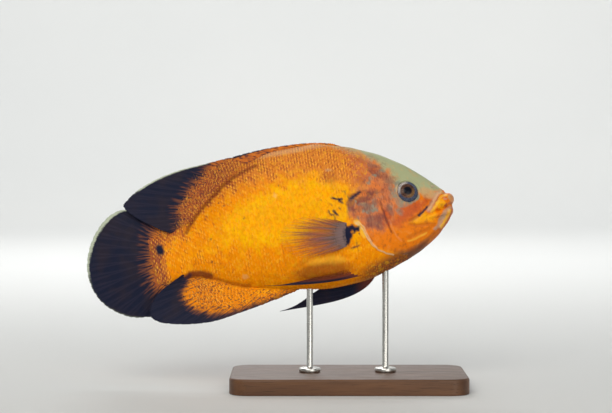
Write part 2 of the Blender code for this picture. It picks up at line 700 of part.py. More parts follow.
def main():
    for obj in list(bpy.data.objects):
        bpy.data.objects.remove(obj)

    stalk, torso, head, jaw = make_trunk()
    pocket = gill_pocket()
    for body in (head, torso, jaw):
        boolean(body, pocket, "DIFFERENCE", keep_tool=True)
    bpy.data.objects.remove(pocket)
    covers = make_gill_covers()
    head, *eyes = make_face(head)
    lips = make_lips(head, jaw)
    head, jaw, torso, stalk = (only_body(o, n) for o, n in (
        (head, "head"), (jaw, "lower_jaw"), (torso, "torso"), (stalk, "tail_stalk"),
    ))
    spiny, dorsal, anal, tail = make_median_fins()
    paired = make_paired_fins()

    pose = fish_pose((0, 0, SWIM_HEIGHT))
    under = (pose.matrix_world @ (belly_point(sum(ROD_PLACES) / 2) * MM)) / MM
    pose.location = (-under.x * MM, -under.y * MM, SWIM_HEIGHT * MM)
    bpy.context.view_layer.update()
    fish = [head, jaw, torso, stalk, *covers, *eyes, *lips, spiny, dorsal, anal, tail, *paired]
    for piece in fish:
        piece.parent = pose
    base = make_base()
    rods = [make_rod(f"stand_rod_{n}", place, pose) for n, place in zip(("front", "rear"), ROD_PLACES)]

    for piece in (torso, stalk, jaw):
        paint(piece, ORANGE, 0.4)
    for piece in (head, *covers):
        paint(piece, RUST, 0.35)
    for piece in lips:
        paint(piece, AMBER, 0.35)
    for piece in eyes:
        paint(piece, IRIS, 0.1)
    for piece in (spiny, dorsal, tail, anal, *paired[2:]):
        paint(piece, NIGHT, 0.45)
    for piece in paired[:2]:
        paint(piece, SMOKE, 0.45)
    paint(base, WALNUT, 0.5)
    for rod in rods:
        paint(rod, STEEL, 0.25, 1.0)


main()
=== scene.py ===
"""Oscar fish on its display stand: the looks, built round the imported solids.

Fish points are in millimetres in the fish's own frame: +X to the snout, +Y its left side, +Z up. in_world()
places them. Most meshes keep those points as the attribute "fish", so markings follow the body in every view.
"""

import math

import bpy
import numpy as np
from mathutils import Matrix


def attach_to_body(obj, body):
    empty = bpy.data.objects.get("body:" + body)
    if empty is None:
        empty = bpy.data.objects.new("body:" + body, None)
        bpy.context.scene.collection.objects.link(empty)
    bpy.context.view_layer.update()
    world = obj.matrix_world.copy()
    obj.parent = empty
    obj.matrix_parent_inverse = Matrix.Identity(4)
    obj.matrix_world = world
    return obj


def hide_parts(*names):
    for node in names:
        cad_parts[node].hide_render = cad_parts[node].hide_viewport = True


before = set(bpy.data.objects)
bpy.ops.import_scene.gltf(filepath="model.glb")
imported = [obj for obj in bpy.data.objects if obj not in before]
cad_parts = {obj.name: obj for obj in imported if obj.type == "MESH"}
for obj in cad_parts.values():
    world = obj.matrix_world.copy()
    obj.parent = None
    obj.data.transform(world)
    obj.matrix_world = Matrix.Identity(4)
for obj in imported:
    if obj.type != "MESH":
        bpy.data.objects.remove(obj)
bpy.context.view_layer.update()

# Sizes that the part's source also has

MM = 0.001
NOSE_UP_DEG = 10
BANK_DEG = 8
SWIM_HEIGHT = 117

# Place along the fish, back, belly, half width, height of the widest point, pinch above and below it.
TRUNK = (
    (-86, 11, -25.4, 3.4, -7.2, 1, 1),
    (-76, 13, -26.6, 5.4, -7, 1.1, 1.1),
    (-62, 16.2, -25.4, 8.4, -4, 1.2, 1.2),
    (-47, 28.6, -29.2, 12.4, 0, 1.3, 1.25),
    (-30, 42.2, -37.2, 17, 2, 1.3, 1.3),
    (-10, 53.2, -42.2, 21.4, 2, 1.25, 1.25),
    (15, 59.4, -47, 25, 1, 1.15, 1.05),
    (40, 59.6, -50.4, 26.6, -3, 1.1, 0.9),
    (62, 54.9, -49.4, 26.2, -6, 1, 0.9),
    (84, 46.4, -44, 23.4, -5, 0.9, 1),
    (105, 34, -36.4, 18.6, -2, 0.85, 1.05),
    (120, 21.4, -28, 13.6, -3, 0.85, 1),
    (130, 11.8, -19.6, 9.2, -4, 0.9, 1),
    (135, 5.6, -13.8, 6.4, -4.5, 0.95, 1),
    (137.4, 1, -8.6, 4.2, -4, 1, 1),
)
MOUTH_CORNER = (119.4, -8.4)
MOUTH_CORNER_HALF_WIDTH = 12.2
UPPER_LIP = {"front": (135.9, 0.7), "front_r": (4.6, 4.6), "corner_rise": 1.9, "corner_r": (2.2, 2.2)}
LOWER_LIP = {"front": (134.8, -8.2), "front_r": (3.7, 3.4), "corner_rise": -2.6, "corner_r": (2, 1.9)}
LIP_FOLD = {"front": (132.6, 6.6), "front_r": (1.2, 1.4), "corner_rise": 3.6, "corner_r": (0.9, 0.9)}
EYE = (106.7, 10)
EYE_R, EYE_DEPTH_R, EYE_PROUD = 8.5, 5.2, 2.4
PUPIL_LEAN = np.array([-0.22, 0, 0.02])  # the pupil sits a little behind the middle of the ball's bare face
NOSTRIL = (125.4, 10.6)
PECTORAL_FOOT = (60.5, -14.5)
GILL_COVER_OUTLINE = (
    (86, 7.6), (80.5, 12.2), (73.4, 14.6), (66.6, 13.2), (61.2, 8.4), (58.4, 2.4), (60, -2.8), (65.4, -8),
    (68.6, -13.2), (70, -19.4), (73.6, -25.8), (79.6, -31), (88, -34.6), (94.6, -35.4), (110, -30),
    (104, -10), (94, 4),
)

SPINY_ROOT = ((64, 52.6), (40, 58.6), (15, 58.4), (-9, 52.6))
SPINY_MARGIN = ((63.6, 54.6), (55, 58.4), (36, 61.6), (10, 62.6), (-10, 61.6), (-23, 60.2))
SOFT_DORSAL_ROOT = ((-8, 52.2), (-30, 40.4), (-47, 27), (-66, 12.5))
SOFT_DORSAL_MARGIN = (
    (-21.5, 60.4), (-42, 58.8), (-60, 57.4), (-78, 53.6), (-93, 47.8), (-103, 41), (-105.6, 37.2),
    (-102, 31.6), (-95, 25), (-88, 19.8), (-81, 15), (-74, 11.5),
)
ANAL_ROOT = ((14, -45.4), (-10, -41), (-30, -35.8), (-46, -27.6), (-62, -22))
ANAL_MARGIN = (
    (4, -48.6), (-15, -53.2), (-34, -56.8), (-52, -59.6), (-70, -58.8), (-86, -55.6), (-95, -52),
    (-99, -46.6), (-97, -39), (-89, -31), (-78, -25), (-70, -21),
)
TAIL_ROOT = ((-75.4, 11.2), (-81, 3), (-83.4, -7), (-81.6, -17), (-77, -24.8))
TAIL_MARGIN = (
    (-102, 35.8), (-112, 35.6), (-122, 30.8), (-131.4, 21.4), (-138.6, 9), (-141.8, -4.6), (-140.2, -18),
    (-134.6, -29.8), (-124.8, -39.2), (-113, -45.4), (-99.5, -47.6),
)
PECTORAL_ROOT = ((58.6, -6.6), (60.4, -12), (59.4, -17.6), (56.2, -22.6))
PECTORAL_MARGIN = (
    (44, -0.5, 4.5), (34, 2.6, 6.5), (25, 3, 8), (15, 0.4, 9.5), (8.6, -5.5, 10.5), (7.4, -12.5, 11),
    (10.6, -19.5, 10.5), (17, -25, 9.5), (27, -27.6, 8), (40, -26.8, 5.5),
)
PECTORAL_SINK = 1.6
PELVIC_SINK = 2.4
PELVICS = {
    "pelvic_fin_right": {
        "root": ((65, -10), (53, -16.6)),
        "margin": (
            (-11.6, -14.6, -40.4), (0, -15, -41.8), (9, -15.6, -42.2), (18, -17, -41.8),
            (28, -19.4, -41), (38, -20.8, -41),
        ),
        "bow": (0, -3.4, -3.2),
        "bow_power": 0.8,
        "facing": (0, 0.75, 0.66),
        "warm": 0.9,
    },
    "pelvic_fin_left": {
        "root": ((74, 11), (64.4, 9)),
        "margin": (
            (-4, 19.5, -59.3), (6.3, 18, -57.8), (14, 16, -55.4), (20, 14.5, -52.2),
            (27, 13, -49), (38, 12, -45),
        ),
        "bow": (0, 0, -11),
        "bow_power": 0.55,
        "facing": (0, 0.6, 0.8),
        "warm": 0,
    },
}
BASE_LENGTH, BASE_WIDTH, BASE_HEIGHT = 176, 92, 12
BASE_CORNER_R, BASE_EDGE_R = 14, 1.6
ROD_R, ROD_FOOT_R, ROD_FOOT_HEIGHT = 2.4, 8, 3
ROD_PLACES = (80, 22)
GAP = 0.3

# Sizes of the render's own detail

COAT_DEPTH = 0.4  # the skin lies this far inside the solids, and the scales rise to them
BODY_STEP, HEAD_STEP, SNOUT_STEP = 1.15, 0.6, 0.32
HEAD_FROM, SNOUT_FROM = 57, 108
AROUND = 256
FRONT_RINGS, SHEATH_RINGS = 18, 9
EASED_RINGS, EASING_PASSES = 100, 14  # at the snout, where the directions out would cross
TAIL_SHEATH_END = -93
SCALE_PITCH = 4.2  # between scales along one row
SCALE_ROW = 3.6  # between rows
SCALE_HEIGHT = 0.3
SCALES_FROM = 82
BAKE_PATCH = 0.003
EYE_BULGE = 0.55  # of the cornea
# Length, width and height of a scale, overlaps included.
FLANK_SCALE = (SCALE_PITCH * 1.32, SCALE_ROW * 1.28, SCALE_HEIGHT)
FIN_SCALE = (3.6, 2.9, 0.2)

# Curves


def smooth(table, at):
    """Each column of the table at places of its first column, on a smooth curve with no overshoot."""
    table = np.array(sorted(table), float)
    xs, rows = table[:, 0], table[:, 1:]
    step = np.diff(xs)[:, None]
    slope = np.diff(rows, axis=0) / step
    product, both = slope[:-1] * slope[1:], slope[:-1] + slope[1:]
    inner = np.where(product > 0, 2 * product / np.where(both == 0, 1, both), 0)
    tangent = np.vstack([slope[:1], inner, slope[-1:]])
    at = np.clip(np.asarray(at, float), xs[0], xs[-1])
    k = np.clip(np.searchsorted(xs, at, side="right") - 1, 0, len(xs) - 2)
    t = ((at - xs[k]) / (xs[k + 1] - xs[k]))[:, None]
    a, b, h = rows[k], rows[k + 1], step[k]
    return (
        a * (1 + 2 * t) * (1 - t) ** 2
        + b * t * t * (3 - 2 * t)
        + h * tangent[k] * t * (1 - t) ** 2
        - h * tangent[k + 1] * t * t * (1 - t)
    )


def curve_through(points, count):
    """`count` points evenly spaced along a Catmull-Rom curve through the given ones."""
    p = np.array(points, float)
    q = np.vstack([2 * p[:1] - p[1:2], p, 2 * p[-1:] - p[-2:-1]])
    t = np.linspace(0, 1, 16, endpoint=False)[:, None]
    fine = [
        0.5 * (2 * b + (c - a) * t + (2 * a - 5 * b + 4 * c - d) * t**2 + (3 * b - a - 3 * c + d) * t**3)
        for a, b, c, d in zip(q, q[1:], q[2:], q[3:])
    ]
    fine = np.vstack([*fine, p[-1:]])
    length = np.concatenate([[0], np.cumsum(np.linalg.norm(np.diff(fine, axis=0), axis=1))])
    at = np.linspace(0, length[-1], count)
    return np.column_stack([np.interp(at, length, fine[:, i]) for i in range(p.shape[1])])


def ramp(value, low, high):
    """0 below `low`, 1 above `high`, and a soft step between."""
    t = np.clip((value - low) / (high - low), 0, 1)
    return t * t * (3 - 2 * t)


def unit(vectors):
    return vectors / np.maximum(np.linalg.norm(vectors, axis=-1, keepdims=True), 1e-9)


# The trunk as a surface


def trunk_points(x, turn, grow=0):
    """Points of the trunk's skin. `turn` is 0 on the right flank, a quarter on the back, and goes round."""
    back, belly, half, widest, over, under = smooth(TRUNK, np.ravel(x)).T.reshape((6, *np.shape(x)))
    c, s = np.cos(turn), np.sin(turn)
    half = half + grow
    y = -half * np.sign(c) * np.abs(c) ** np.where(s > 0, over, under)
    z = widest + np.where(s > 0, back - widest + grow, widest - belly + grow) * s
    return np.stack([np.broadcast_to(x, z.shape), y, z], axis=-1)


def half_width_at(x, z):
    """Distance from the middle plane to the trunk's skin at places in side view."""
    x, z = np.broadcast_arrays(np.asarray(x, float), np.asarray(z, float))
    back, belly, half, widest, over, under = smooth(TRUNK, np.ravel(x)).T.reshape((6, *x.shape))
    share = (z - widest) / np.where(z > widest, back - widest, widest - belly)
    return half * np.clip(1 - share * share, 0, 1) ** (np.where(z > widest, over, under) / 2)


def underside_at(x, y):
    _, belly, half, widest, _, under = smooth(TRUNK, [x])[0]
    return widest - (widest - belly) * math.sqrt(1 - (abs(y) / half) ** (2 / under))


def skin_place(x, z, side):
    """A place on the trunk's skin and the direction out of it."""
    along = (half_width_at(x + 1, z) - half_width_at(x - 1, z)) / 2
    up = (half_width_at(x, z + 1) - half_width_at(x, z - 1)) / 2
    return np.array([x, side * float(half_width_at(x, z)), z]), unit(np.array([-along, side, -up]))


# Placing in the world


def pose_turn():
    bank, rise = -math.radians(BANK_DEG), -math.radians(NOSE_UP_DEG)
    about_x = [[1, 0, 0], [0, math.cos(bank), -math.sin(bank)], [0, math.sin(bank), math.cos(bank)]]
    about_y = [[math.cos(rise), 0, math.sin(rise)], [0, 1, 0], [-math.sin(rise), 0, math.cos(rise)]]
    return np.array(about_y) @ np.array(about_x)


TURN = pose_turn()
MIDDLE = sum(ROD_PLACES) / 2
UNDER = TURN @ np.array([MIDDLE, 0, smooth(TRUNK, [MIDDLE])[0][1]])
PLACE = np.array([-UNDER[0], -UNDER[1], SWIM_HEIGHT])


def in_world(points):
    """Metres in the world from millimetres in the fish's frame."""
    return (np.asarray(points) @ TURN.T + PLACE) * MM


def in_fish(points):
    """Millimetres in the fish's frame from metres in the world."""
    return (np.asarray(points) / MM - PLACE) @ TURN


# Making meshes


def set_field(mesh, name, values):
    """Keeps one number or one vector for each point of a mesh."""
    values = np.asarray(values, np.float32)
    kind, slot = ("FLOAT", "value") if values.ndim == 1 else ("FLOAT_VECTOR", "vector")
    field = mesh.attributes.get(name) or mesh.attributes.new(name, kind, "POINT")
    field.data.foreach_set(slot, values.ravel())


def read_field(data, key, width):
    """The numbers kept under a key, one row for each element."""
    values = np.empty(len(data) * width, np.float32)
    data.foreach_get(key, values)
    return values.reshape(-1, width)


def linked(name, data):
    """An object of the scene that shows this data."""
    obj = bpy.data.objects.new(name, data)
    bpy.context.scene.collection.objects.link(obj)
    return obj


def new_piece(name, points, faces, fields=None, finish=(), face_finish=None):
    """A smooth mesh object from world points in metres."""
    mesh = bpy.data.meshes.new(name)
    mesh.from_pydata(np.asarray(points).tolist(), [], [tuple(f) for f in faces])
    for key, values in (fields or {}).items():
        set_field(mesh, key, values)
    for material in finish:
        mesh.materials.append(material)
    if face_finish is not None:
        mesh.polygons.foreach_set("material_index", np.asarray(face_finish, np.int32))
    mesh.validate()
    mesh.shade_smooth()
    return linked(name, mesh)


def strip_faces(rows, columns, ring):
    """Quads of a grid of points, row by row; with `ring` the last column joins the first."""
    i, j = np.meshgrid(np.arange(rows - 1), np.arange(columns if ring else columns - 1), indexing="ij")
    a, b = i * columns + j, i * columns + (j + 1) % columns
    return np.stack([a, b, b + columns, a + columns], axis=-1).reshape(-1, 4)


def closed_rings(rings, poles):
    """Points and outward faces of a closed body over rings of points, with a pole at either end."""
    rows, sides = rings.shape[:2]
    points = np.vstack([rings.reshape(-1, 3), poles])
    count, here = rows * sides, np.arange(sides)
    ahead = (here + 1) % sides
    quads = strip_faces(rows, sides, True)
    order = 1 if turned_out(points, quads) is quads else -1
    first = np.column_stack([np.full(sides, count), ahead, here])
    last = np.column_stack([np.full(sides, count + 1), count - sides + here, count - sides + ahead])
    return points, [tuple(f) for part in (quads, first, last) for f in part[:, ::order]]


def turned_out(points, faces):
    """The faces, flipped if the closed shape that they make is inside out."""
    first = np.asarray(faces[:, :3])
    a, b, c = (points[first[:, i]] for i in range(3))
    middle = points.mean(axis=0)
    volume = np.einsum("ij,ij->i", a - middle, np.cross(b - middle, c - middle)).sum()
    return faces[:, ::-1] if volume < 0 else faces


# Markings, as fields over side view


def distance_to(path, x, z):
    """Distance in side view to a broken line."""
    best = np.full(x.shape, 1e9)
    for (ax, az), (bx, bz) in zip(path, path[1:]):
        dx, dz = bx - ax, bz - az
        t = np.clip(((x - ax) * dx + (z - az) * dz) / (dx * dx + dz * dz + 1e-9), 0, 1)
        best = np.minimum(best, np.hypot(x - ax - t * dx, z - az - t * dz))
    return best


def depth_in(outline, x, z):
    """Distance inside a closed outline, below 0 outside it."""
    closed = [*outline, outline[0]]
    within = np.zeros(x.shape, bool)
    for (ax, az), (bx, bz) in zip(closed, closed[1:]):
        spans = (az > z) != (bz > z)
        within ^= spans & (x < (bx - ax) * (z - az) / (bz - az + 1e-12) + ax)
    return np.where(within, 1, -1) * distance_to(closed, x, z)


def wobble(x, z, size, seed):
    """A smooth uneven field between about -1 and 1, with lumps `size` across."""
    rng = np.random.default_rng(seed)
    total = np.zeros(np.shape(x))
    for _ in range(6):
        angle, phase = rng.uniform(0, 2 * math.pi, 2)
        wave = 2 * math.pi / (size * rng.uniform(0.8, 2.2))
        total = total + np.sin((x * math.cos(angle) + z * math.sin(angle)) * wave + phase)
    return total / 2.6


def stroke(path, width, x, z):
    """A soft line of this half width."""
    return 1 - ramp(distance_to(path, x, z), width * 0.4, width * 1.5)


def spot(oval, x, z):
    """A soft oval: its place, radii and turn in degrees."""
    place_x, place_z, radius_x, radius_z, turn = oval
    dx, dz = x - place_x, z - place_z
    c, s = math.cos(math.radians(turn)), math.sin(math.radians(turn))
    reach = np.hypot((dx * c + dz * s) / radius_x, (dz * c - dx * s) / radius_z)
    return 1 - ramp(reach, 0.55, 1.25)


GILL_EDGE = (
    (78, 13.4), (72.5, 15.2), (68.1, 14), (64, 12.2), (60.6, 7.6), (58.9, 1), (60.4, -3), (65.2, -7.2),
    (68, -11.7), (69.9, -18), (72, -23.4), (75.7, -27.7), (81, -31.5), (86.7, -33.7), (92.6, -34.9),
    (98.6, -36),
)
SCALED_TO = ((56, 64), (72, 52), (80, 42), (81, 32), (77, 24), (70, 18))
HEAD_OUTLINE = (*SCALED_TO, *GILL_EDGE[2:], (100, -60), (150, -60), (150, 80), (56, 80))
GILL_RIM = (
    (63.6, -7.6), (66.4, -9.6), (69, -14.2), (70.6, -19.6), (73.4, -25.2), (77.2, -29.2), (82.6, -32.6),
    (88, -34.4),
)
GILL_RIM_INNER = ((66, -6.8), (69.4, -11), (71.4, -18.2), (73.6, -24), (76.6, -27.8))
PREOPERCLE = ((85, 5.4), (85.5, 1), (86, -3.4), (86.9, -8.4), (87.6, -12.8), (89, -18))
PREOPERCLE_RIDGE = ((87.4, 4), (88.4, -1.6), (89.2, -9), (90, -15), (91.8, -20.4), (95, -25.4), (100, -28.6))
# The groove behind the upper jaw's rear edge; the dark strokes drawn along it are painted shade in the
# groove.
CHEEK_CREASE = ((122.8, 0.4), (121, -2), (118.5, -4.1), (115.9, -5.6), (113.2, -7.5), (111.4, -9.1))
CREASE_TRAIL = ((111.4, -9.1), (108.1, -10.5), (104.1, -11.8))
LIP_LINE_OUTER = ((128.9, 5.6), (126.7, 3), (124.7, 0.8), (122.8, -1.5), (121.4, -4.1), (119.4, -5.4))
# The bright crest of the upper lip, drawn as a painted highlight.
LIP_HIGHLIGHT_LINE = (
    (135, 3.4), (132.2, 3.2), (130.1, 2.4), (128.6, 0.7), (126.1, -2.4), (124.5, -4.5), (122.6, -6.5),
    (121, -8),
)
LIP_GROOVE = ((129.6, 4.2), (127.9, 2), (125.6, -0.6), (123.6, -3.4), (121.8, -5.6))
MOUTH_LINE = ((139.6, -5.6), (136, -5.4), (133.5, -6), (128.8, -6.2), (124.8, -7.2), (122, -8.8))
CHIN_LILAC = ((131.4, -9), (130.4, -11), (129.3, -12.6), (127.4, -14.6), (126.3, -16.6), (125.3, -18.2))
CHIN_YELLOW = ((135.2, -8.6), (134.2, -10.4), (132.5, -12.4), (130.5, -15.1), (128.5, -17.6), (126.8, -19.4))
CHIN_RIM = (
    (138.2, -6.9), (137.2, -9), (135.7, -11.6), (133.6, -14.6), (131.6, -17.2), (129.2, -19.6), (125.8, -22),
)
JAW_CREASES = (
    ((104, -14.6), (108, -15.8), (113, -16.2), (118, -16.4), (121.5, -17)),
    ((101, -23.4), (106.9, -22.2), (110, -21.7), (113.4, -21), (117.4, -19.6)),
    ((99.1, -32.6), (108.5, -30.6), (116.9, -26.4), (123.9, -20.6)),
)
JAW_STRIPE = ((100, -26.6), (103.2, -26), (108, -24.8), (111.2, -23.8), (114.8, -22.4))
DORSAL_LINE = (
    (-61.7, 9.4), (-57.9, 15), (-48, 24.6), (-34, 35.6), (-25.9, 41.2), (-14.3, 46.6), (-2.4, 49.6),
)
# Along the anal fin's root and the notch behind it: the dark strokes drawn here are painted shade.
ANAL_SHADE_LINE = (
    (-77.6, -33.4), (-74.6, -28.4), (-70.2, -24.4), (-64.2, -22.2), (-56.5, -22.6), (-49.6, -25.6),
    (-43.1, -30), (-34.8, -34.4), (-22, -37.6),
)
PECTORAL_SHADE = ((15.8, -31.3), (29, -25.4), (47.2, -24), (55, -22.8))
# Lower limit of the brown back.
BACK_LINE = (
    (-70, 9), (-62, 15), (-48.8, 26.5), (-35.9, 32), (-23.8, 34.8), (-8.2, 36.1), (7.3, 37.6), (22.3, 36.3),
    (36.9, 33.5), (47.3, 28.5), (54.1, 24.1), (61, 20.6), (68, 15),
)
RUST_ZONE = (
    (62, 51.5), (66.5, 42.1), (67.5, 32.2), (65.6, 23.2), (63.4, 16), (60, 8.7), (58.9, 0.3), (63.2, -4.9),
    (68, -9.7), (75, -16), (83.3, -15.4), (90.1, -12.5), (94.4, -6.5), (97.4, -1.4), (98.4, 4), (99.4, 19.6),
    (97.5, 24.9), (94, 31.3), (89, 36.9), (82.3, 42.1), (75.6, 46.5), (68.8, 51.1),
)
EMBER_ZONE = (
    (97, 3), (94.4, -6.5), (91, -14.5), (97, -13), (104, -10), (111, -6.4), (117, -2.4), (122, 1.6),
    (119, 3.4), (112, 1), (105, 1),
)
# The pale band over the top of the head: painted sheen of light from above.
FOREHEAD_SHEEN_ZONE = (
    (52, 58.6), (60.3, 55), (69.8, 49.6), (77.6, 44.5), (84.3, 39.1), (90.6, 33.4), (95.6, 27.6), (98, 21),
    (99.6, 14), (106, 9), (113, 8.6), (117, 8.4), (121.8, 7.4), (127.6, 7.2), (131.4, 8.2), (140, 9),
    (140, 80), (52, 80),
)
TAN_ZONE = ((113.6, 9.4), (117.6, 3.6), (122.4, 1.8), (126, 3.6), (129.4, 6), (124, 9.6), (117, 12.4))
ROOT_BLOTCH = (
    (54, -7.6), (61, -8.4), (66.2, -9.8), (65.6, -13.2), (61.6, -15.2), (58.4, -18.2), (56.2, -22.4),
    (52, -20),
)
JAW_GOLD_ZONE = (
    (104, -13.4), (110.4, -9.6), (116, -7.4), (120.6, -8.8), (124.4, -8.2), (126, -11), (123, -14.6),
    (113, -15),
)

# Soft ovals: place, radii, turn in degrees and strength. Those of ZONE_SPOTS have broken edges.
ZONE_SPOTS = {
    "gold": (
        (24, 11, 54, 15, 8, 0.7), (55, 7, 7, 9, 0, 0.6), (-52, -6, 26, 6, 10, 0.35),
        (62.6, -18, 3, 6, 0, 0.95), (60.8, -26.4, 6.4, 2.4, 0, 0.8), (39, 33, 7, 6, 0, 0.6),
        (-7, -44, 14, 5, 0, 0.6), (113, -10.9, 5, 3, 20, 0.6), (128.8, -2.8, 3.4, 4, 20, 0.8),
        (123.6, -8.6, 1.8, 2.6, 0, 0.7),
    ),
    "flame": (
        (80.4, 18.4, 7.4, 3, 12, 1), (90.6, 16.6, 7, 3.4, 0, 0.7), (63, 27, 4, 6, 0, 0.4),
        (102, -19, 14, 6, 8, 0.8), (84, -26, 18, 8, -12, 1), (102, -28, 14, 3, 14, 0.5),
        (76, -20, 7, 6, 0, 0.9), (76, 33, 4, 6, 0, 0.5), (61.8, -2, 3.6, 4.6, 0, 1),
        (92.6, -3, 1.6, 9, -8, 0.5), (70, 8.6, 3.6, 3, 0, 0.4),
    ),
    "ember": ((87, -7, 4, 9, -6, 0.8), (64, 8, 4, 7, 0, 0.5), (108, -4, 9, 5, 10, 0.8)),
    "slate": (
        (77, 3.4, 5, 4, 0, 0.65), (65.8, 7, 1.4, 2.8, 0, 0.85), (82.2, 24.4, 3.8, 2, 30, 0.85),
        (79, 21.6, 1.8, 2, 0, 0.6), (72.6, 4.6, 4, 2.2, 20, 0.7), (79.6, 7.4, 3.2, 1.8, 0, 0.5),
        (80.4, -0.6, 3.4, 2, -30, 0.75), (66.4, -4, 1.8, 2, 0, 0.6), (73.4, -0.4, 3, 1.6, 0, 0.7),
        (99.2, 1.6, 3.6, 2.6, -20, 0.75), (98, -3.6, 3.4, 4.4, 0, 0.5), (95, 9, 3.6, 8, 0, 0.6),
        (100.6, 1.4, 6, 2.6, -30, 0.8), (92, 1, 3, 4, 0, 0.45), (86, 10, 5, 3, 20, 0.4),
        (90, 27, 5, 3, -30, 0.35),
    ),
    "plum": (
        (-89, -7, 6, 22, 0, 0.75), (-88, -25, 7, 7, 0, 0.7), (78.4, -9, 9, 7, -20, 0.5),
        (85.4, -6, 2.4, 9, -6, 0.5), (66, 1, 4.4, 7, 20, 0.5), (61.6, 8.4, 2, 5, -20, 0.5),
        (70, 11.6, 5, 2, 10, 0.5), (86, 29, 9, 5, -30, 0.6), (76, 40, 7, 4, -30, 0.4),
        (73, 24, 4, 6, 0, 0.4), (64.4, 7.6, 5, 7.4, 0, 1), (71, 8, 6, 5.4, 0, 0.8),
        (80, 11.4, 8, 3.8, 10, 0.9),
    ),
    "bark": ((54, 6, 5, 9, 0, 0.3), (51, 30, 6, 8, 0, 0.55)),
    "tan": (
        (138.6, -0.6, 3.4, 5.4, 0, 0.55), (130.8, 6.8, 3.6, 2.4, -30, 0.9), (128.6, -12.6, 3, 2.6, 30, 0.35),
        (93, 21, 4, 2.4, 20, 0.4),
    ),
}
SHARP_SPOTS = {
    "navy": (
        (-83.6, 0.3, 3.6, 4.8, 8, 1), (-33.5, 26.6, 1, 0.7, 20, 0.9), (-30.1, 23.6, 0.8, 0.9, 0, 0.8),
        (-16, 11.4, 0.7, 0.9, 0, 0.8), (-46.1, -16, 1.1, 0.8, 30, 0.8), (-44.4, -17.2, 0.7, 0.6, 0, 0.8),
        (-45.9, 16.7, 0.7, 0.9, 0, 0.6), (12.4, 31.1, 0.7, 0.7, 0, 0.8), (-43.8, 0.8, 0.7, 0.9, 0, 0.6),
        (-75.8, -0.4, 0.7, 0.6, 0, 0.6), (-84.6, -25.6, 1, 1.4, 0, 0.7), (55.2, 11, 1.5, 1.9, 20, 1),
        (54.6, 5.6, 0.8, 0.9, 0, 0.8), (41.8, 14, 0.7, 0.8, 0, 0.5), (45.6, 4.4, 0.8, 1, 0, 0.8),
        (60.6, -24.4, 4, 0.8, 12, 0.75), (65.2, -15.6, 0.7, 1, 0, 0.7), (62.6, -22, 0.8, 0.6, 0, 0.6),
    ),
    "cream": (
        (-23.8, -31.2, 2.4, 1.9, 0, 0.25), (8.8, 23.4, 1.1, 2.4, 0, 0.25), (51, 35.6, 2.8, 1.2, 0, 0.3),
        (24, 58, 34, 4, 0, 0.3), (65, -8, 1, 2.4, 35, 0.5), (99, 13.4, 1.1, 3.4, -12, 0.45),
        (134.3, -8.4, 0.9, 1.6, 0, 0.35),
    ),
    "rosy": ((133.2, 0.1, 1.8, 0.9, 0, 0.8), (119.8, -6.6, 2, 1.8, 0, 0.7), (126, 11.8, 2.6, 1.2, 0, 0.2)),
    # Painted shade on the belly above the pelvic fins.
    "maroon": ((34, -37.6, 24, 6.6, -3, 0.58),),
    # Painted light on the belly below the pectoral fin, between the painted shades.
    "glow": ((37, -30.6, 15, 3.6, -2, 0.4), (45, -32, 9, 3, -2, 0.4)),
    "red": ((132.9, -4.5, 1.5, 1.3, 0, 0.75), (136.6, -3.2, 1.8, 1.2, 0, 0.5)),
    "lilac": ((125.2, 11.2, 1.6, 1, 0, 0.55), (122.6, -19.6, 2.4, 1.4, 30, 0.6)),
}
# Soft lines: path, half width and strength.
SHARP_STROKES = {
    "navy": (
        (((49.8, 14.2), (52.4, 13.4), (54.4, 12.4), (57.4, 12.4)), 0.8, 1),
        (((55, 12), (57.2, 9.2)), 0.7, 0.8), (((58.2, 17.8), (60.2, 17.2), (60.4, 14.6)), 0.5, 0.6),
        (((45.6, 3.8), (46.8, 1.9), (49.4, 1.3)), 0.6, 0.8),
        (((50, 4.8), (50.4, 2.2), (52.6, 1)), 0.8, 0.95), (((49.4, -0.4), (49, -3.2)), 0.9, 0.6),
        (((61.6, 13), (62.4, 10)), 0.6, 0.6), (((48.6, 9.6), (49.6, 8)), 0.5, 0.4),
        (((64.2, 11.4), (67.4, 13.4), (70.8, 15)), 1.2, 1), (((70.8, 15), (77, 14.6)), 0.6, 0.5),
        # The navy stroke along the anal fin's root is painted shade in the notch.
        # The navy stroke on the cheek crease is painted shade in its groove.
        (CHEEK_CREASE[2:], 0.9, 0.95), (ANAL_SHADE_LINE[:4], 1.6, 0.7),
    ),
    "maroon": (
        (PREOPERCLE, 0.7, 0.6), (GILL_EDGE[2:5], 1.8, 0.5), (PECTORAL_SHADE, 2.4, 0.2),
        # The maroon stroke on the cheek crease is painted shade in its groove.
        (CHEEK_CREASE[:3], 0.8, 0.4), (CREASE_TRAIL, 1.2, 0.4), (MOUTH_LINE, 0.7, 0.12),
        (LIP_GROOVE, 0.6, 0.2), (JAW_CREASES[0], 1.5, 0.25),
        (JAW_CREASES[1], 1.4, 0.22), (JAW_CREASES[2], 1.6, 0.18),
        # The maroon strokes along the anal fin's root are painted shade.
        (DORSAL_LINE, 1.5, 0.6), (ANAL_SHADE_LINE, 1.6, 0.36), (ANAL_SHADE_LINE[:6], 2.6, 0.85),
    ),
    "cream": (
        (GILL_RIM, 0.45, 0.85), (GILL_RIM_INNER, 0.4, 0.6), (PREOPERCLE_RIDGE[2:6], 0.7, 0.12),
        (LIP_LINE_OUTER, 0.9, 0.4),
    ),
    "lilac": ((CHIN_LILAC, 1.8, 0.6), (LIP_LINE_OUTER, 1.9, 0.5), (((136, -6.6), (132.6, -8)), 1.4, 0.5)),
    "glow": (
        # The stroke along the upper lip's crest is a painted highlight.
        (LIP_HIGHLIGHT_LINE, 0.9, 0.65), (CHIN_YELLOW, 1.2, 0.6), (JAW_STRIPE, 0.7, 0.55),
        (((64.6, -6.6), (66.2, -9.2), (67.6, -13), (68.8, -17.6)), 1.8, 0.7),
    ),
    "red": ((CHIN_RIM, 1.4, 0.5),),
}


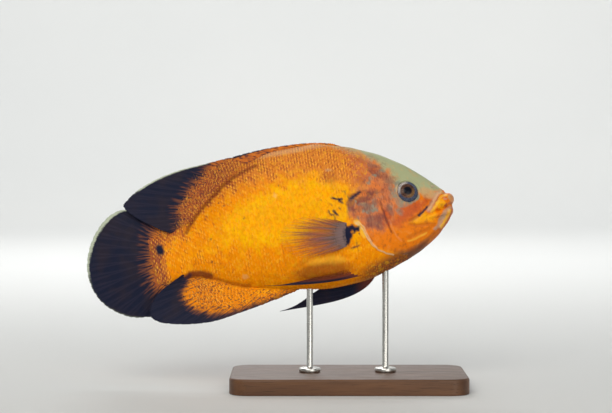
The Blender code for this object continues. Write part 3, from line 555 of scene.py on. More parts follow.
def markings(fish):
    """How strongly each paint covers each point. The left side is drawn a little differently."""
    x, y, z = fish.T
    x = np.where(y > 0, x + 1.1 * np.sin(z / 9), x)
    z = np.where(y > 0, z - 1.3 * np.cos(x / 11), z)
    rough, fine = wobble(x, z, 7, 3), wobble(x, z, 2.6, 4)
    back, belly = smooth(TRUNK, x)[:, :2].T
    paint = {}

    def lay(name, cover):
        paint[name] = np.maximum(paint.get(name, 0), cover)

    over_line = ramp(z - np.interp(x, *np.array(BACK_LINE).T) + 2 * rough, -14, 12) * (1 - ramp(x, 66, 84))
    stalk_end = 0.8 * ramp(-x, 77, 84)
    off_trunk = ramp(np.maximum(z - back, belly - z), -1, 2)
    lay("back", over_line)
    lay("back", stalk_end)
    lay("bark", 0.9 * over_line * ramp(-x, -20, 55))
    lay("bark", 0.675 * stalk_end)
    lay("bark", 0.5 * off_trunk * ramp(-x, 30, 62) * (z < 0))
    lay("amber", ramp(-(z - (belly + 20)) + 4 * rough, -14, 14) * (1 - ramp(x, 78, 100)))
    lay("amber", 0.6 * ramp(-x, 34, 70) * ramp(z, -4, 12))
    lay("amber", np.minimum(1 - spot((24, 10, 66, 24, 8), x, z) + 0.15 * rough, 1))
    fade = np.interp(x, (104, 114, 128), (8, 4, 2))
    for name, outline, strength, ragged, low, high in (
        ("orange", HEAD_OUTLINE, 1, 0, -2, 5), ("rust", RUST_ZONE, 1, 1, -6, 6),
        ("ember", EMBER_ZONE, 1, 1, -7, 6), ("gold", JAW_GOLD_ZONE, 0.8, 0.5, -3.4, 3.4),
        # The pale forehead zone is painted sheen of light from above.
        ("forehead_sheen", FOREHEAD_SHEEN_ZONE, 1, 1.2, -fade, 0.8 * fade), ("tan", TAN_ZONE, 0.8, 0, -2, 2),
    ):
        lay(name, strength * ramp(depth_in(outline, x, z) + ragged * rough, low, high))
    for spots, shift_x, shift_z in ((ZONE_SPOTS, fine, 0.8 * rough), (SHARP_SPOTS, 0.4 * fine, 0.3 * rough)):
        for name, ovals in spots.items():
            for *oval, strength in ovals:
                lay(name, strength * spot(oval, x + shift_x, z + shift_z))
    for name, strokes in SHARP_STROKES.items():
        shift = 0.12 if name == "cream" else 0.3
        for path, width, strength in strokes:
            lay(name, strength * stroke(path, width, x + shift * fine, z + shift * rough))
    orbit = np.hypot(x - EYE[0] + 0.6, z - EYE[1] - 0.6)
    below_eye = ramp(EYE[0] + 4 - x - z + EYE[1], -4, 4)
    lay("slate", 0.8 * (1 - ramp(np.abs(orbit - 8.6), 0.8, 3)) * below_eye)
    gap = 1 - 0.6 * spot((60.4, -13.4, 1.4, 1.1, 30), x, z)
    lay("navy", ramp(depth_in(ROOT_BLOTCH, x, z) + 0.6 * fine, -0.8, 1.1) * gap)
    # Painted shade: the underside of the head and belly grows darker toward the bottom, and under the chin
    # too.
    under_jaw = ramp(belly - z, -15 + 7 * ramp(x, 88, 104), -3)
    lay("throat_shade", under_jaw * ramp(x, 46, 76) * (0.95 - 0.6 * ramp(x, 106, 122)))
    lay("throat_shade", ramp(x, 106, 120) * ramp(-z, 21, 29) * 0.3)

    speck = 0.30 + over_line * (0.36 + 0.30 * ramp(-x, -30, 50)) + 0.12 * ramp(-x, 10, 60) + 0.5 * stalk_end
    speck = speck - 0.2 * spot((20, 8, 60, 26, 8), x, z) - 0.1 * ramp(-z, 20, 40)
    on_fin = off_trunk * (0.95 - 0.5 * ramp(x, -62, -30) * (z < 0))
    paint["speck"] = np.clip(np.maximum(speck + 0.12 * rough, on_fin), 0, 1)
    return paint


# Materials


def colour_of(text):
    """A linear colour from an sRGB hex value."""
    parts = [int(text[i:i + 2], 16) / 255 for i in (1, 3, 5)]
    return (*(c / 12.92 if c <= 0.04045 else ((c + 0.055) / 1.055) ** 2.4 for c in parts), 1)


class Nodes:
    """A node tree, with short names for the nodes that this script adds."""

    def __init__(self, tree):
        self.tree = tree

    def add(self, kind, settings=None, inputs=None):
        """A new node with its settings; an input is a value, or another node's output to link."""
        node = self.tree.nodes.new(kind)
        for key, value in (settings or {}).items():
            setattr(node, key, value)
        for key, value in (inputs or {}).items():
            if isinstance(value, bpy.types.NodeSocket):
                self.tree.links.new(value, node.inputs[key])
            else:
                node.inputs[key].default_value = value
        return node

    def reckon(self, operation, first, *others):
        """Joins values by one operation, from the first to the last."""
        for value in others:
            first = self.add("ShaderNodeMath", {"operation": operation}, {0: first, 1: value}).outputs[0]
        return first

    def times(self, *values):
        return self.reckon("MULTIPLY", *values)

    def plus(self, *values):
        return self.reckon("ADD", *values)

    def minus(self, *values):
        return self.reckon("SUBTRACT", *values)


class Paint(Nodes):
    """A new material, with short names for the nodes that colour it. A colour is a hex value or a socket."""

    def __init__(self, name, **sockets):
        self.material = bpy.data.materials.new(name)
        self.material.use_nodes = True
        super().__init__(self.material.node_tree)
        self.shader = self.tree.nodes["Principled BSDF"].inputs
        for key, value in sockets.items():
            self.shader[key.replace("_", " ")].default_value = value

    def set(self, socket, output):
        self.tree.links.new(output, self.shader[socket])

    def fac(self, name):
        return self.add("ShaderNodeAttribute", {"attribute_name": name}).outputs["Fac"]

    def vector(self, name):
        return self.add("ShaderNodeAttribute", {"attribute_name": name}).outputs["Vector"]

    def own_place(self):
        return self.add("ShaderNodeTexCoord").outputs["Object"]

    def mix(self, amount, below, above, blend="MIX"):
        """Lays one colour over another."""
        below, above = (colour_of(c) if isinstance(c, str) else c for c in (below, above))
        settings = {"data_type": "RGBA", "blend_type": blend}
        return self.add("ShaderNodeMix", settings, {0: amount, 6: below, 7: above}).outputs[2]

    def step(self, value, low, high, out_low=0, out_high=1):
        """A soft step of a value between two levels."""
        inputs = {"Value": value, "From Min": low, "From Max": high, "To Min": out_low, "To Max": out_high}
        return self.add("ShaderNodeMapRange", {"interpolation_type": "SMOOTHSTEP"}, inputs).outputs[0]

    def stretched(self, place, scale):
        return self.add("ShaderNodeMapping", inputs={"Vector": place, "Scale": scale}).outputs[0]

    def noise(self, place, size, detail=2, stretch=None, **more):
        """Noise whose lumps are `size` across, in the units of the place."""
        if stretch:
            place = self.stretched(place, stretch)
        inputs = {"Vector": place, "Scale": 1 / size, "Detail": detail, **more}
        return self.add("ShaderNodeTexNoise", inputs=inputs).outputs[0]

    def bump(self, height, strength, distance):
        inputs = {"Height": height, "Strength": strength, "Distance": distance}
        self.set("Normal", self.add("ShaderNodeBump", inputs=inputs).outputs[0])


# Paints that cover a zone, with how ragged and how wide its edge is, then those of the spots and lines.
ZONE_PAINTS = (
    ("amber", "#F69200", 0.5, 0.5), ("back", "#E08838", 0.5, 0.5), ("bark", "#9E5236", 0.4, 0.5),
    ("orange", "#EE7E00", 0.8, 0.3), ("rust", "#CC7446", 1.3, 0.4), ("ember", "#C8571E", 1.2, 0.45),
    ("flame", "#F58606", 1.3, 0.45), ("plum", "#86483C", 1.7, 0.5), ("gold", "#FFAE00", 0.8, 0.45),
    # The brown zone under the head and belly is painted shade.
    # The pale forehead zone is painted sheen of light from above.
    ("throat_shade", "#70452C", 0.4, 0.5), ("forehead_sheen", "#ABAF86", 1.1, 0.48), ("tan", "#C8A474", 0.9, 0.5),
    ("slate", "#888A78", 1.7, 0.45),
)
MARK_PAINTS = (
    ("lilac", "#B0A493"), ("rosy", "#CF9074"), ("red", "#A8522E"), ("glow", "#FFC840"), ("cream", "#E9C79A"),
    ("maroon", "#6C2B1E"), ("navy", "#1E2036"),
)


def painted(p, place, dither):
    """The fish's colours without its marks: an uneven base, and the zones, whose edges `dither` breaks up."""
    colour = p.mix(p.step(p.noise(place, 9), 0.35, 0.72, 0, 0.5), "#FFC000", "#FFAE00")
    off_middle = p.minus(dither, 0.5)
    for name, tint, ragged, width in ZONE_PAINTS:
        zone = p.fac(name)
        cover = p.step(p.plus(zone, p.times(off_middle, ragged)), 0.5 - width, 0.5 + width)
        present = p.reckon("MINIMUM", p.times(zone, 8), 1)
        colour = p.mix(p.times(cover, present), colour, tint)
    return colour


def marked(p, colour):
    """Lays the spots and lines over a colour."""
    for name, tint in MARK_PAINTS:
        colour = p.mix(p.fac(name), colour, tint)
    return colour


def flank_material():
    """Oscar flank skin and scales, live and wet: saturated orange under thin clear slime, with a fine dark
    dash at the root of a scale's bare part and light along its free edge, strongest on the back."""
    p = Paint("fish_flank_scaled_skin", Roughness=0.5, Specular_IOR_Level=0.04, Coat_Roughness=0.35)
    place, along, tint, speck = p.vector("fish"), p.fac("along"), p.fac("tint"), p.fac("speck")
    grain = p.noise(place, 1.7, 3, (1, 1, 0.6))
    colour = painted(p, place, p.plus(p.times(tint, 0.5), p.times(grain, 0.5)))
    colour = p.mix(p.step(grain, 0.4, 0.62, 0, 0.38), colour, "#E67804")
    colour = p.mix(p.step(p.noise(place, 3.4, 3), 0.5, 0.68, 0, 0.35), colour, "#FFBE1E")
    # The dash shows on chosen scales, and a few blots lie over all.
    at_root = p.times(p.step(along, 0.36, 0.5), p.step(along, 0.64, 0.78, 1, 0))
    blot = p.step(p.plus(grain, p.times(speck, 0.2)), 0.68, 0.78, 0, 0.7)
    chosen = p.step(p.plus(tint, p.noise(place, 5, 3), p.times(speck, 1.1)), 1.5, 2.1)
    dash = p.reckon("MAXIMUM", blot, p.times(chosen, at_root))
    colour = p.mix(p.times(dash, p.plus(p.times(speck, 0.62), 0.18)), colour, "#82342C")
    # The light edge is stronger on some scales than on others.
    uneven = p.step(p.reckon("MODULO", p.times(tint, 7.3), 1), 0.1, 0.8, 0.15, 1)
    edge = p.times(p.step(along, 0.74, 0.9), p.plus(p.times(speck, 0.95), 0.12), uneven)
    edge = p.times(edge, p.step(p.fac("bark"), 0.2, 0.9, 1, 0.55))
    colour = marked(p, p.mix(edge, colour, "#FFB640"))
    colour = p.mix(p.fac("dusk"), colour, "#20202F")
    p.set("Base Color", p.mix(1, colour, p.step(tint, 0, 1, 0.93, 1.05), "MULTIPLY"))
    p.set("Roughness", p.step(p.noise(place, 4), 0.3, 0.7, 0.42, 0.58))
    p.bump(p.noise(place, 0.7, 3), 0.25, 0.0003)
    return p.material


def head_material():
    """Oscar head skin and lips: thick, smooth and slimy flesh, with small scales sunk under it that only
    dimple the cheek, fine dark streaks down the gill cover, and wrinkles on the lips."""
    p = Paint(
        "fish_head_skin", Roughness=0.4, Subsurface_Weight=0.05, Subsurface_Scale=0.0012,
        Coat_Weight=0.06, Coat_Roughness=0.25, Specular_IOR_Level=0.12,
    )
    place, rust = p.vector("fish"), p.fac("rust")
    colour = painted(p, place, p.noise(place, 5, 5, (1, 1, 0.8)))
    smear, cloud = p.noise(place, 3, 4, (0.8, 1, 0.7)), p.noise(place, 8, 4)
    streak = p.noise(place, 1, 2, (1, 1, 0.22))
    for cover, tint in (
        (p.times(p.step(smear, 0.5, 0.72, 0, 0.4), p.minus(1, p.fac("forehead_sheen"))), "#8E3C1E"),
        (p.step(smear, 0.46, 0.3, 0, 0.22), "#F2A650"),
        (p.times(p.step(cloud, 0.5, 0.64, 0, 0.6), rust), "#80594C"),
        (p.times(p.step(cloud, 0.47, 0.36, 0, 0.6), rust), "#E67E34"),
        (p.times(p.step(streak, 0.52, 0.66, 0, 0.45), rust), "#7E3A34"),
    ):
        colour = p.mix(cover, colour, tint)
    p.set("Base Color", marked(p, colour))
    cells = p.add("ShaderNodeTexVoronoi", {"feature": "SMOOTH_F1"}, {
        "Vector": place, "Scale": 1 / 2.8, "Smoothness": 0.6, "Randomness": 0.7,
    })
    dimple = p.times(cells.outputs["Distance"], -0.7, p.minus(1, p.fac("lip")))
    p.bump(p.plus(dimple, p.noise(place, 0.8, 3, (0.6, 1, 1.4))), 0.3, 0.0004)
    return p.material


def dark_fin_material():
    """Oscar median fin: near-black blue skin over soft rays, its scaly base orange and running out along the
    rays in dark and light streaks, and a pale rim where the fin has one."""
    p = Paint("fish_dark_fin_membrane", Roughness=0.55, Specular_IOR_Level=0.08)
    place, strip, base = p.vector("fish"), p.vector("strip"), p.fac("base")
    dusk = p.mix(p.step(p.noise(place, 14), 0.4, 0.7), "#191E33", "#272330")
    dusk = p.mix(p.times(p.fac("ray"), 0.3), dusk, "#393343")
    scaly = p.mix(p.step(p.noise(place, 5), 0.35, 0.7), "#D0752A", "#B4602C")
    scaly = p.mix(p.fac("amber"), scaly, "#F08A08")
    scaly = p.mix(p.step(p.noise(strip, 1, 2, (1, 0.28, 1)), 0.5, 0.64, 0, 0.8), scaly, "#3A2434")
    # The base's outer bound runs out along the rays in thin streaks that grow browner.
    streak = p.minus(p.noise(strip, 0.62, 3, (1, 0.06, 1)), 0.5)
    streak = p.times(streak, 3.2, p.step(base, 0, 0.3))
    scaly = p.mix(p.step(base, 1, 0.4), scaly, "#6A4034")
    colour = p.mix(p.step(p.plus(base, streak), 0.15, 1.05), dusk, scaly)
    colour = p.mix(p.fac("warm"), colour, "#8A4226")
    p.set("Base Color", p.mix(p.fac("edge"), colour, "#B9C0AB"))
    p.set("Alpha", p.fac("cover"))
    p.bump(p.noise(strip, 0.6, 3), 0.2, 0.0003)
    return p.material


def clear_fin_material():
    """Oscar pectoral fin: a thin smoky membrane that the flank shows through, on brown and smoky rays."""
    p = Paint(
        "fish_pectoral_membrane", Roughness=0.5, Coat_Weight=0.04, Coat_Roughness=0.35,
        Specular_IOR_Level=0.2,
    )
    ray, out = p.fac("ray"), p.fac("out")
    stripe = p.step(p.noise(p.vector("strip"), 2.2, 1, (1, 0.05, 1)), 0.42, 0.6)
    colour = p.mix(p.times(ray, 0.7), p.mix(stripe, "#C87838", "#8C5854"), "#8A4632")
    colour = p.mix(p.step(p.plus(out, p.times(stripe, -0.1)), 0.42, 0.18), colour, "#77605E")
    ink = p.step(p.plus(out, p.times(p.noise(p.vector("fish"), 2), 0.16)), 0.24, 0.14)
    p.set("Base Color", p.mix(ink, colour, "#262739"))
    on_ray = p.times(ray, p.step(out, 0.35, 1, 0.8, 0.12))
    on_stripe = p.times(stripe, p.step(out, 0.4, 0.9, 0.34, 0))
    cover = p.plus(p.step(out, 0.25, 0.85, 0.34, 0), on_ray, on_stripe)
    p.set("Alpha", p.reckon("MINIMUM", p.reckon("MAXIMUM", cover, p.step(out, 0.4, 0.16)), 1))
    return p.material


def eye_material():
    """Fish eye under a clear cornea: a soft black pupil, a brown-gold iris brightest low and in front,
    and a slate-blue outer ring whose pale part behind and above is a painted highlight."""
    p = Paint("fish_eye", Roughness=0.3, Coat_Weight=0.16, Coat_Roughness=0.06, Specular_IOR_Level=0.06)
    out, wheel = p.fac("out"), p.vector("wheel")
    ahead, up, _ = p.add("ShaderNodeSeparateXYZ", inputs={"Vector": wheel}).outputs
    spokes = p.noise(wheel, 0.14, 3)
    iris = p.mix(p.step(spokes, 0.35, 0.68), "#3C2824", "#6E4A38")
    iris = p.mix(p.step(p.minus(ahead, up), 0.3, 1.4, 0, 0.5), iris, "#8E6A3C")
    # Painted highlight: the outer ring is pale behind and above.
    slate = p.mix(p.step(p.minus(up, ahead), 0.5, 1.25), "#3F455C", "#C6BBB2")
    slate = p.mix(p.step(spokes, 0.4, 0.7), slate, "#565C6C")
    colour = p.mix(p.step(out, 2.4, 3.5), "#0C0D18", "#4A3428")
    colour = p.mix(p.step(out, 3.1, 3.9), colour, iris)
    p.set("Base Color", p.mix(p.step(out, 5, 6), colour, slate))
    return p.material


def walnut_material():
    """Oiled walnut: straight brown grain along the base, fine dark pores, and a soft satin surface."""
    p = Paint("oiled_walnut", Roughness=0.4, Specular_IOR_Level=0.4)
    where = p.own_place()
    grain = p.stretched(where, (6, 60, 60))
    bands = p.add("ShaderNodeTexWave", {"bands_direction": "Y"}, {
        "Vector": grain, "Scale": 0.7, "Distortion": 5, "Detail": 3,
    }).outputs[0]
    pore = p.noise(where, 1, 2, (60, 2200, 2200))
    colour = p.mix(p.noise(grain, 0.625, 4, Distortion=1.2), "#4A2F1E", "#7A5233")
    colour = p.mix(p.times(bands, 0.45), colour, "#3A2417")
    p.set("Base Color", p.mix(p.step(pore, 0.56, 0.7, 0, 0.55), colour, "#23150D"))
    p.set("Roughness", p.step(pore, 0.4, 0.7, 0.36, 0.55))
    p.bump(pore, 0.15, 0.0002)
    return p.material


def steel_material():
    """Brushed stainless steel: turned rods with faint rings round them."""
    p = Paint("brushed_stainless_steel", Metallic=1, Roughness=0.28)
    line = p.noise(p.own_place(), 1, 2, (300, 300, 5200))
    p.set("Base Color", p.mix(line, "#B9B8B4", "#D9D8D4"))
    p.set("Roughness", p.step(line, 0.3, 0.7, 0.22, 0.36))
    return p.material


def paper_material():
    """Matt pale studio paper, with no grain that would show."""
    p = Paint("matt_studio_paper", Roughness=0.9, Specular_IOR_Level=0.2)
    p.set("Base Color", p.mix(p.noise(p.own_place(), 1 / 1.4), "#D6D7D6", "#DCDCDA"))
    return p.material


# The skin


def relief(fish):
    """How far the head's forms stand out of the plain trunk, in mm: gill cover and rim, orbits, nostrils,
    creases of the jaw and the fleshy foot of each pectoral fin."""
    x, y, z = fish.T

    def ridge(path, high, wide, ahead=0, over=0):
        return high * np.exp(-((distance_to(path, x - ahead, z - over) / wide) ** 2))

    flank = ramp(np.abs(y), 3, 8)
    on_cover = ramp(depth_in(GILL_COVER_OUTLINE, x, z), -0.8, 0.8)
    from_edge = distance_to(GILL_EDGE, x, z)
    rise = flank * on_cover * 0.55 * np.exp(-np.clip(from_edge - 1, 0, None) / 6)
    rise -= flank * (1 - on_cover) * ridge(GILL_EDGE, 0.4, 1.4)
    rise += flank * (ridge(GILL_RIM, 0.5, 0.8) + ridge(GILL_RIM_INNER, 0.35, 0.7))
    rise += flank * (ridge(PREOPERCLE_RIDGE, 0.35, 1.4) - ridge(PREOPERCLE, 0.45, 0.8))
    rise += ridge(CHEEK_CREASE, 0.5, 1.5, 1.4, -1.6) - ridge(CHEEK_CREASE, 0.6, 1)
    for path, deep in zip(JAW_CREASES, (0.3, 0.22, 0.3)):
        rise += ridge(path, 0.6 * deep, 1.3, 0, 1.9) - ridge(path, deep, 0.8)
    rise += ridge(JAW_STRIPE, 0.2, 1.2) + ridge(CHIN_YELLOW, 0.45, 1)
    rise -= ridge(CREASE_TRAIL, 0.5, 0.9) + ridge(CHIN_LILAC, 0.4, 1.1)
    rise += 0.12 * wobble(x, z, 9, 11) * ramp(x, 60, 75)
    for side in (-1, 1):
        centre, normal = skin_place(*EYE, side)
        away = fish - centre
        reach = np.linalg.norm(away - (away @ normal)[:, None] * normal, axis=1)
        swell = 0.5 * np.exp(-(((reach - 9.1) / 1.3) ** 2)) - 3.6 * (1 - ramp(reach, 7.2, 8.2))
        reach = np.linalg.norm(fish - skin_place(*NOSTRIL, side)[0], axis=1)
        swell += 0.45 * np.exp(-(((reach - 1.7) / 0.6) ** 2)) - 1.4 * (1 - ramp(reach, 0.5, 1.2))
        reach = np.linalg.norm((fish - skin_place(*PECTORAL_FOOT, side)[0]) / (7.5, 9, 10), axis=1)
        swell += 0.9 * (1 - ramp(reach, 0.3, 1))
        rise += np.where(np.sign(y) == side, swell, 0)
    return rise


def lip_line(shape, steps=131):
    """The middle line of a lip's roll round the mouth's horseshoe, and the roll's radius along it."""
    corner, front = np.array(MOUTH_CORNER), np.array(shape["front"])
    angle = np.linspace(-math.pi / 2, math.pi / 2, steps)
    ahead, back = np.cos(angle), (np.abs(angle) / (math.pi / 2)) ** 1.6
    rise = shape["corner_rise"]
    line = np.column_stack([
        corner[0] + (front[0] - corner[0]) * ahead,
        MOUTH_CORNER_HALF_WIDTH * np.sin(angle),
        corner[1] + rise + (front[1] - corner[1] - rise) * ahead,
    ])
    radius = sum(shape["front_r"]) / 2 * (1 - back) + sum(shape["corner_r"]) / 2 * back
    return line, radius * (1 + 0.03 * np.sin(angle * 15 + 1))


def roll_over(points, normals, shape, grow=0):
    """How high a lip's roll stands over each point of the skin, along the skin's own direction out."""
    best = np.full(len(points), -20)
    for middle, radius in zip(*lip_line(shape)):
        away = middle - points
        along = np.einsum("ij,ij->i", away, normals)
        off = np.sqrt(np.maximum(np.einsum("ij,ij->i", away, away) - along**2, 0))
        r = radius + grow
        high = along + np.where(off < r, np.sqrt(np.maximum(r * r - off * off, 0)), -2.5 * (off - r))
        best = np.maximum(best, high)
    return best


def soft_max(a, b, width):
    return 0.5 * (a + b + np.sqrt((a - b) ** 2 + width**2))


def trunk_grid():
    """The trunk's rings from the tail's sheath to the snout's front, and the direction out at each point."""
    stations = np.concatenate([
        np.arange(TRUNK[0][0], HEAD_FROM, BODY_STEP), np.arange(HEAD_FROM, SNOUT_FROM, HEAD_STEP),
        np.arange(SNOUT_FROM, TRUNK[-1][0], SNOUT_STEP), [TRUNK[-1][0]],
    ])
    turn = np.linspace(0, 2 * math.pi, AROUND, endpoint=False)
    grid = trunk_points(*np.meshgrid(stations, turn, indexing="ij"), -COAT_DEPTH)
    sheath, stalk_middle = [], TRUNK[0][4]
    for share in np.linspace(0, 1, SHEATH_RINGS, endpoint=False):
        ring = grid[0].copy()
        ring[:, 0] = TAIL_SHEATH_END + (TRUNK[0][0] - TAIL_SHEATH_END) * share
        ring[:, 2] = stalk_middle + (ring[:, 2] - stalk_middle) * (1 + 0.1 * (1 - share))
        ring[:, 1] = ring[:, 1] * (0.14 + 0.86 * share**0.8) + 0.5 * (1 - share)
        sheath.append(ring)
    front, centre = [], grid[-1].mean(axis=0)
    for step in range(1, FRONT_RINGS):
        share = 1 - step / FRONT_RINGS
        ring = centre + (grid[-1] - centre) * share
        ring[:, 0] = grid[-1][:, 0] + 0.7 * (1 - share**2) ** 0.8
        front.append(ring)
    grid = np.concatenate([np.array(sheath), grid, np.array(front)])
    out = unit(np.cross(np.roll(grid, -1, axis=1) - np.roll(grid, 1, axis=1), np.gradient(grid, axis=0)))
    body = slice(len(sheath), len(sheath) + 100)
    if np.einsum("ijk,ijk->", out[body], grid[body] - grid[body].mean(axis=1, keepdims=True)) < 0:
        out = -out
    for _ in range(EASING_PASSES):
        eased = unit(out[:-2] + 2 * out[1:-1] + out[2:])
        out[-EASED_RINGS:-1] = eased[1 - EASED_RINGS:]
    return grid, out


def make_skin(materials):
    """The whole skin, from the tail's sheath to the lips, as one mesh."""
    grid, out = trunk_grid()
    flat, out = grid.reshape(-1, 3), out.reshape(-1, 3)
    rise = relief(flat)
    snout = flat[:, 0] > SNOUT_FROM
    upper, lower, fold = (
        roll_over(flat[snout], out[snout], lip, grow)
        for lip, grow in ((UPPER_LIP, -0.3), (LOWER_LIP, -0.6), (LIP_FOLD, -0.4))
    )
    lips = soft_max(soft_max(upper, fold, 1.2), lower, 1.8) - 0.15
    lip = np.zeros(len(flat))
    lip[snout] = ramp(lips - rise[snout], -0.2, 0.5)
    rise[snout] = soft_max(rise[snout], lips, 1.3)
    grid = (flat + out * rise[:, None]).reshape(grid.shape)
    points, faces = closed_rings(grid, grid[[0, -1]].mean(axis=1))
    bare = depth_in(HEAD_OUTLINE, points[:, 0], points[:, 2]) > 0
    none = np.zeros(len(points))
    fields = {"fish": points, "along": none, "tint": none + 0.5, "dusk": none, "lip": np.append(lip, [0, 1])}
    fields.update(markings(points))
    which = [int(bare[face[0]]) for face in faces]
    return new_piece("fish_skin", in_world(points), faces, fields, materials, which)


# Scales


def scale_form():
    """One scale, a unit long and wide: a thin rounded plate, sunk at its root and lifted at its free edge."""
    outline = [(-0.42, 0.16), (-0.34, 0.36), (-0.1, 0.48), (0.14, 0.5), (0.34, 0.42), (0.5, 0.24), (0.58, 0)]
    ring = np.array(outline + [(x, -y) for x, y in outline[-2::-1]])
    inner = (ring - (0.08, 0)) * 0.62 + (0.08, 0)
    count = len(ring)

    def top(p):
        lift = np.clip((p[:, 0] + 0.42), 0, 1) ** 1.25
        return -0.95 + 1.95 * lift - 0.9 * p[:, 1] ** 2

    middle = np.array([[0.08, 0]])
    flat = np.vstack([ring, ring, inner, middle])
    height = np.concatenate([top(ring) - 0.75, top(ring), top(inner) + 0.12, top(middle) + 0.16])
    points = np.column_stack([flat, height])
    faces = [tuple(range(count))]
    for i in range(count):
        j = (i + 1) % count
        for start in (0, count):
            faces.append((start + i + count, start + j + count, start + j, start + i))
        faces.append((3 * count, j + 2 * count, i + 2 * count))
    return new_piece("scale_form", points, faces, {"along": flat[:, 0] + 0.42})


def coat_tree():
    """Geometry nodes that set one scale on each point of a mesh, root forward, as one real mesh."""
    tree = bpy.data.node_groups.new("coat_of_scales", "GeometryNodeTree")
    sockets = {}
    for name, kind in (
        ("Points", "Geometry"), ("Scale form", "Object"), ("Length", "Float"), ("Width", "Float"),
        ("Height", "Float"), ("Unevenness", "Float"), ("Seed", "Int"), ("Finish", "Material"),
    ):
        socket = tree.interface.new_socket(name, in_out="INPUT", socket_type="NodeSocket" + kind)
        sockets[name] = socket.identifier
    tree.interface.new_socket("Coat", in_out="OUTPUT", socket_type="NodeSocketGeometry")
    n = Nodes(tree)
    given = n.add("NodeGroupInput").outputs
    outward, tailward, size = (
        n.add("GeometryNodeInputNamedAttribute", {"data_type": kind}, {"Name": name}).outputs[0]
        for name, kind in (("outward", "FLOAT_VECTOR"), ("tailward", "FLOAT_VECTOR"), ("size", "FLOAT"))
    )
    lie = n.add("FunctionNodeAxesToRotation", {"primary_axis": "Z", "secondary_axis": "X"}, {
        "Primary Axis": outward, "Secondary Axis": tailward,
    })
    least, most = n.minus(1, given["Unevenness"]), n.plus(1, given["Unevenness"])
    vary = n.add("FunctionNodeRandomValue", {"data_type": "FLOAT"}, {2: least, 3: most, 8: given["Seed"]})
    local = n.times(size, vary.outputs[1])
    stretch = n.add("ShaderNodeCombineXYZ", inputs={
        0: n.times(local, given["Length"]), 1: n.times(local, given["Width"]), 2: given["Height"],
    })
    form = n.add("GeometryNodeObjectInfo", inputs={"Object": given["Scale form"]})
    placed = n.add("GeometryNodeInstanceOnPoints", inputs={
        "Points": given["Points"], "Instance": form.outputs["Geometry"], "Rotation": lie.outputs[0],
        "Scale": stretch.outputs[0],
    })
    real = n.add("GeometryNodeRealizeInstances", inputs={"Geometry": placed.outputs[0]})
    dressed = n.add("GeometryNodeSetMaterial", inputs={
        "Geometry": real.outputs[0], "Material": given["Finish"],
    })
    n.add("NodeGroupOutput", inputs={0: dressed.outputs[0]})
    return tree, sockets


def coat(name, group, spread, form, finish, scale_size, seed):
    """A coat of scales on the spread: places, directions, sizes, unwrapped places and how dark each is."""
    tree, sockets = group
    places, outward, tailward, size, unwrap, dusk = (np.concatenate(part) for part in zip(*spread))
    rng = np.random.default_rng(seed)
    tailward = unit(tailward + rng.normal(0, 0.11, tailward.shape))
    carrier = new_piece(name + "_points", in_world(places), [], {
        "outward": outward @ TURN.T, "tailward": tailward @ TURN.T, "size": size,
        "tint": rng.uniform(0, 1, len(places)), "dusk": dusk,
        "unwrap": np.column_stack([unwrap, np.zeros(len(places))]),
    })
    modifier = carrier.modifiers.new("Coat", "NODES")
    modifier.node_group = tree
    length, width, height = scale_size
    for key, value in (
        ("Scale form", form), ("Length", length * MM), ("Width", width * MM), ("Height", height * MM),
        ("Unevenness", 0.1), ("Seed", seed), ("Finish", finish),
    ):
        modifier[sockets[key]] = value
    bpy.context.view_layer.update()
    graph = bpy.context.evaluated_depsgraph_get()
    mesh = bpy.data.meshes.new_from_object(carrier.evaluated_get(graph))
    bpy.data.objects.remove(carrier)
    mesh.name = name
    fish = in_fish(read_field(mesh.vertices, "co", 3))
    for key, values in {"fish": fish, **markings(fish)}.items():
        set_field(mesh, key, values)
    lay_bake_map(mesh)
    mesh.shade_smooth()
    mesh.set_sharp_from_angle(angle=math.radians(50))
    return linked(name, mesh)


def lay_bake_map(mesh):
    """The map OFBake: each scale is a patch 0.003 across, at its root's place on the unwrapped skin."""
    unwrap = read_field(mesh.attributes["unwrap"].data, "vector", 3)[:, :2]
    along = read_field(mesh.attributes["along"].data, "value", 1)[:, 0]
    form = read_field(bpy.data.meshes["scale_form"].vertices, "co", 3)
    across = np.tile(form[:, 1], len(along) // len(form))
    uv = unwrap + np.column_stack([along, across]) * BAKE_PATCH
    corner = np.empty(len(mesh.loops), np.int32)
    mesh.loops.foreach_get("vertex_index", corner)
    layer = mesh.uv_layers.new(name="OFBake")
    layer.data.foreach_set("uv", uv[corner].astype(np.float32).ravel())


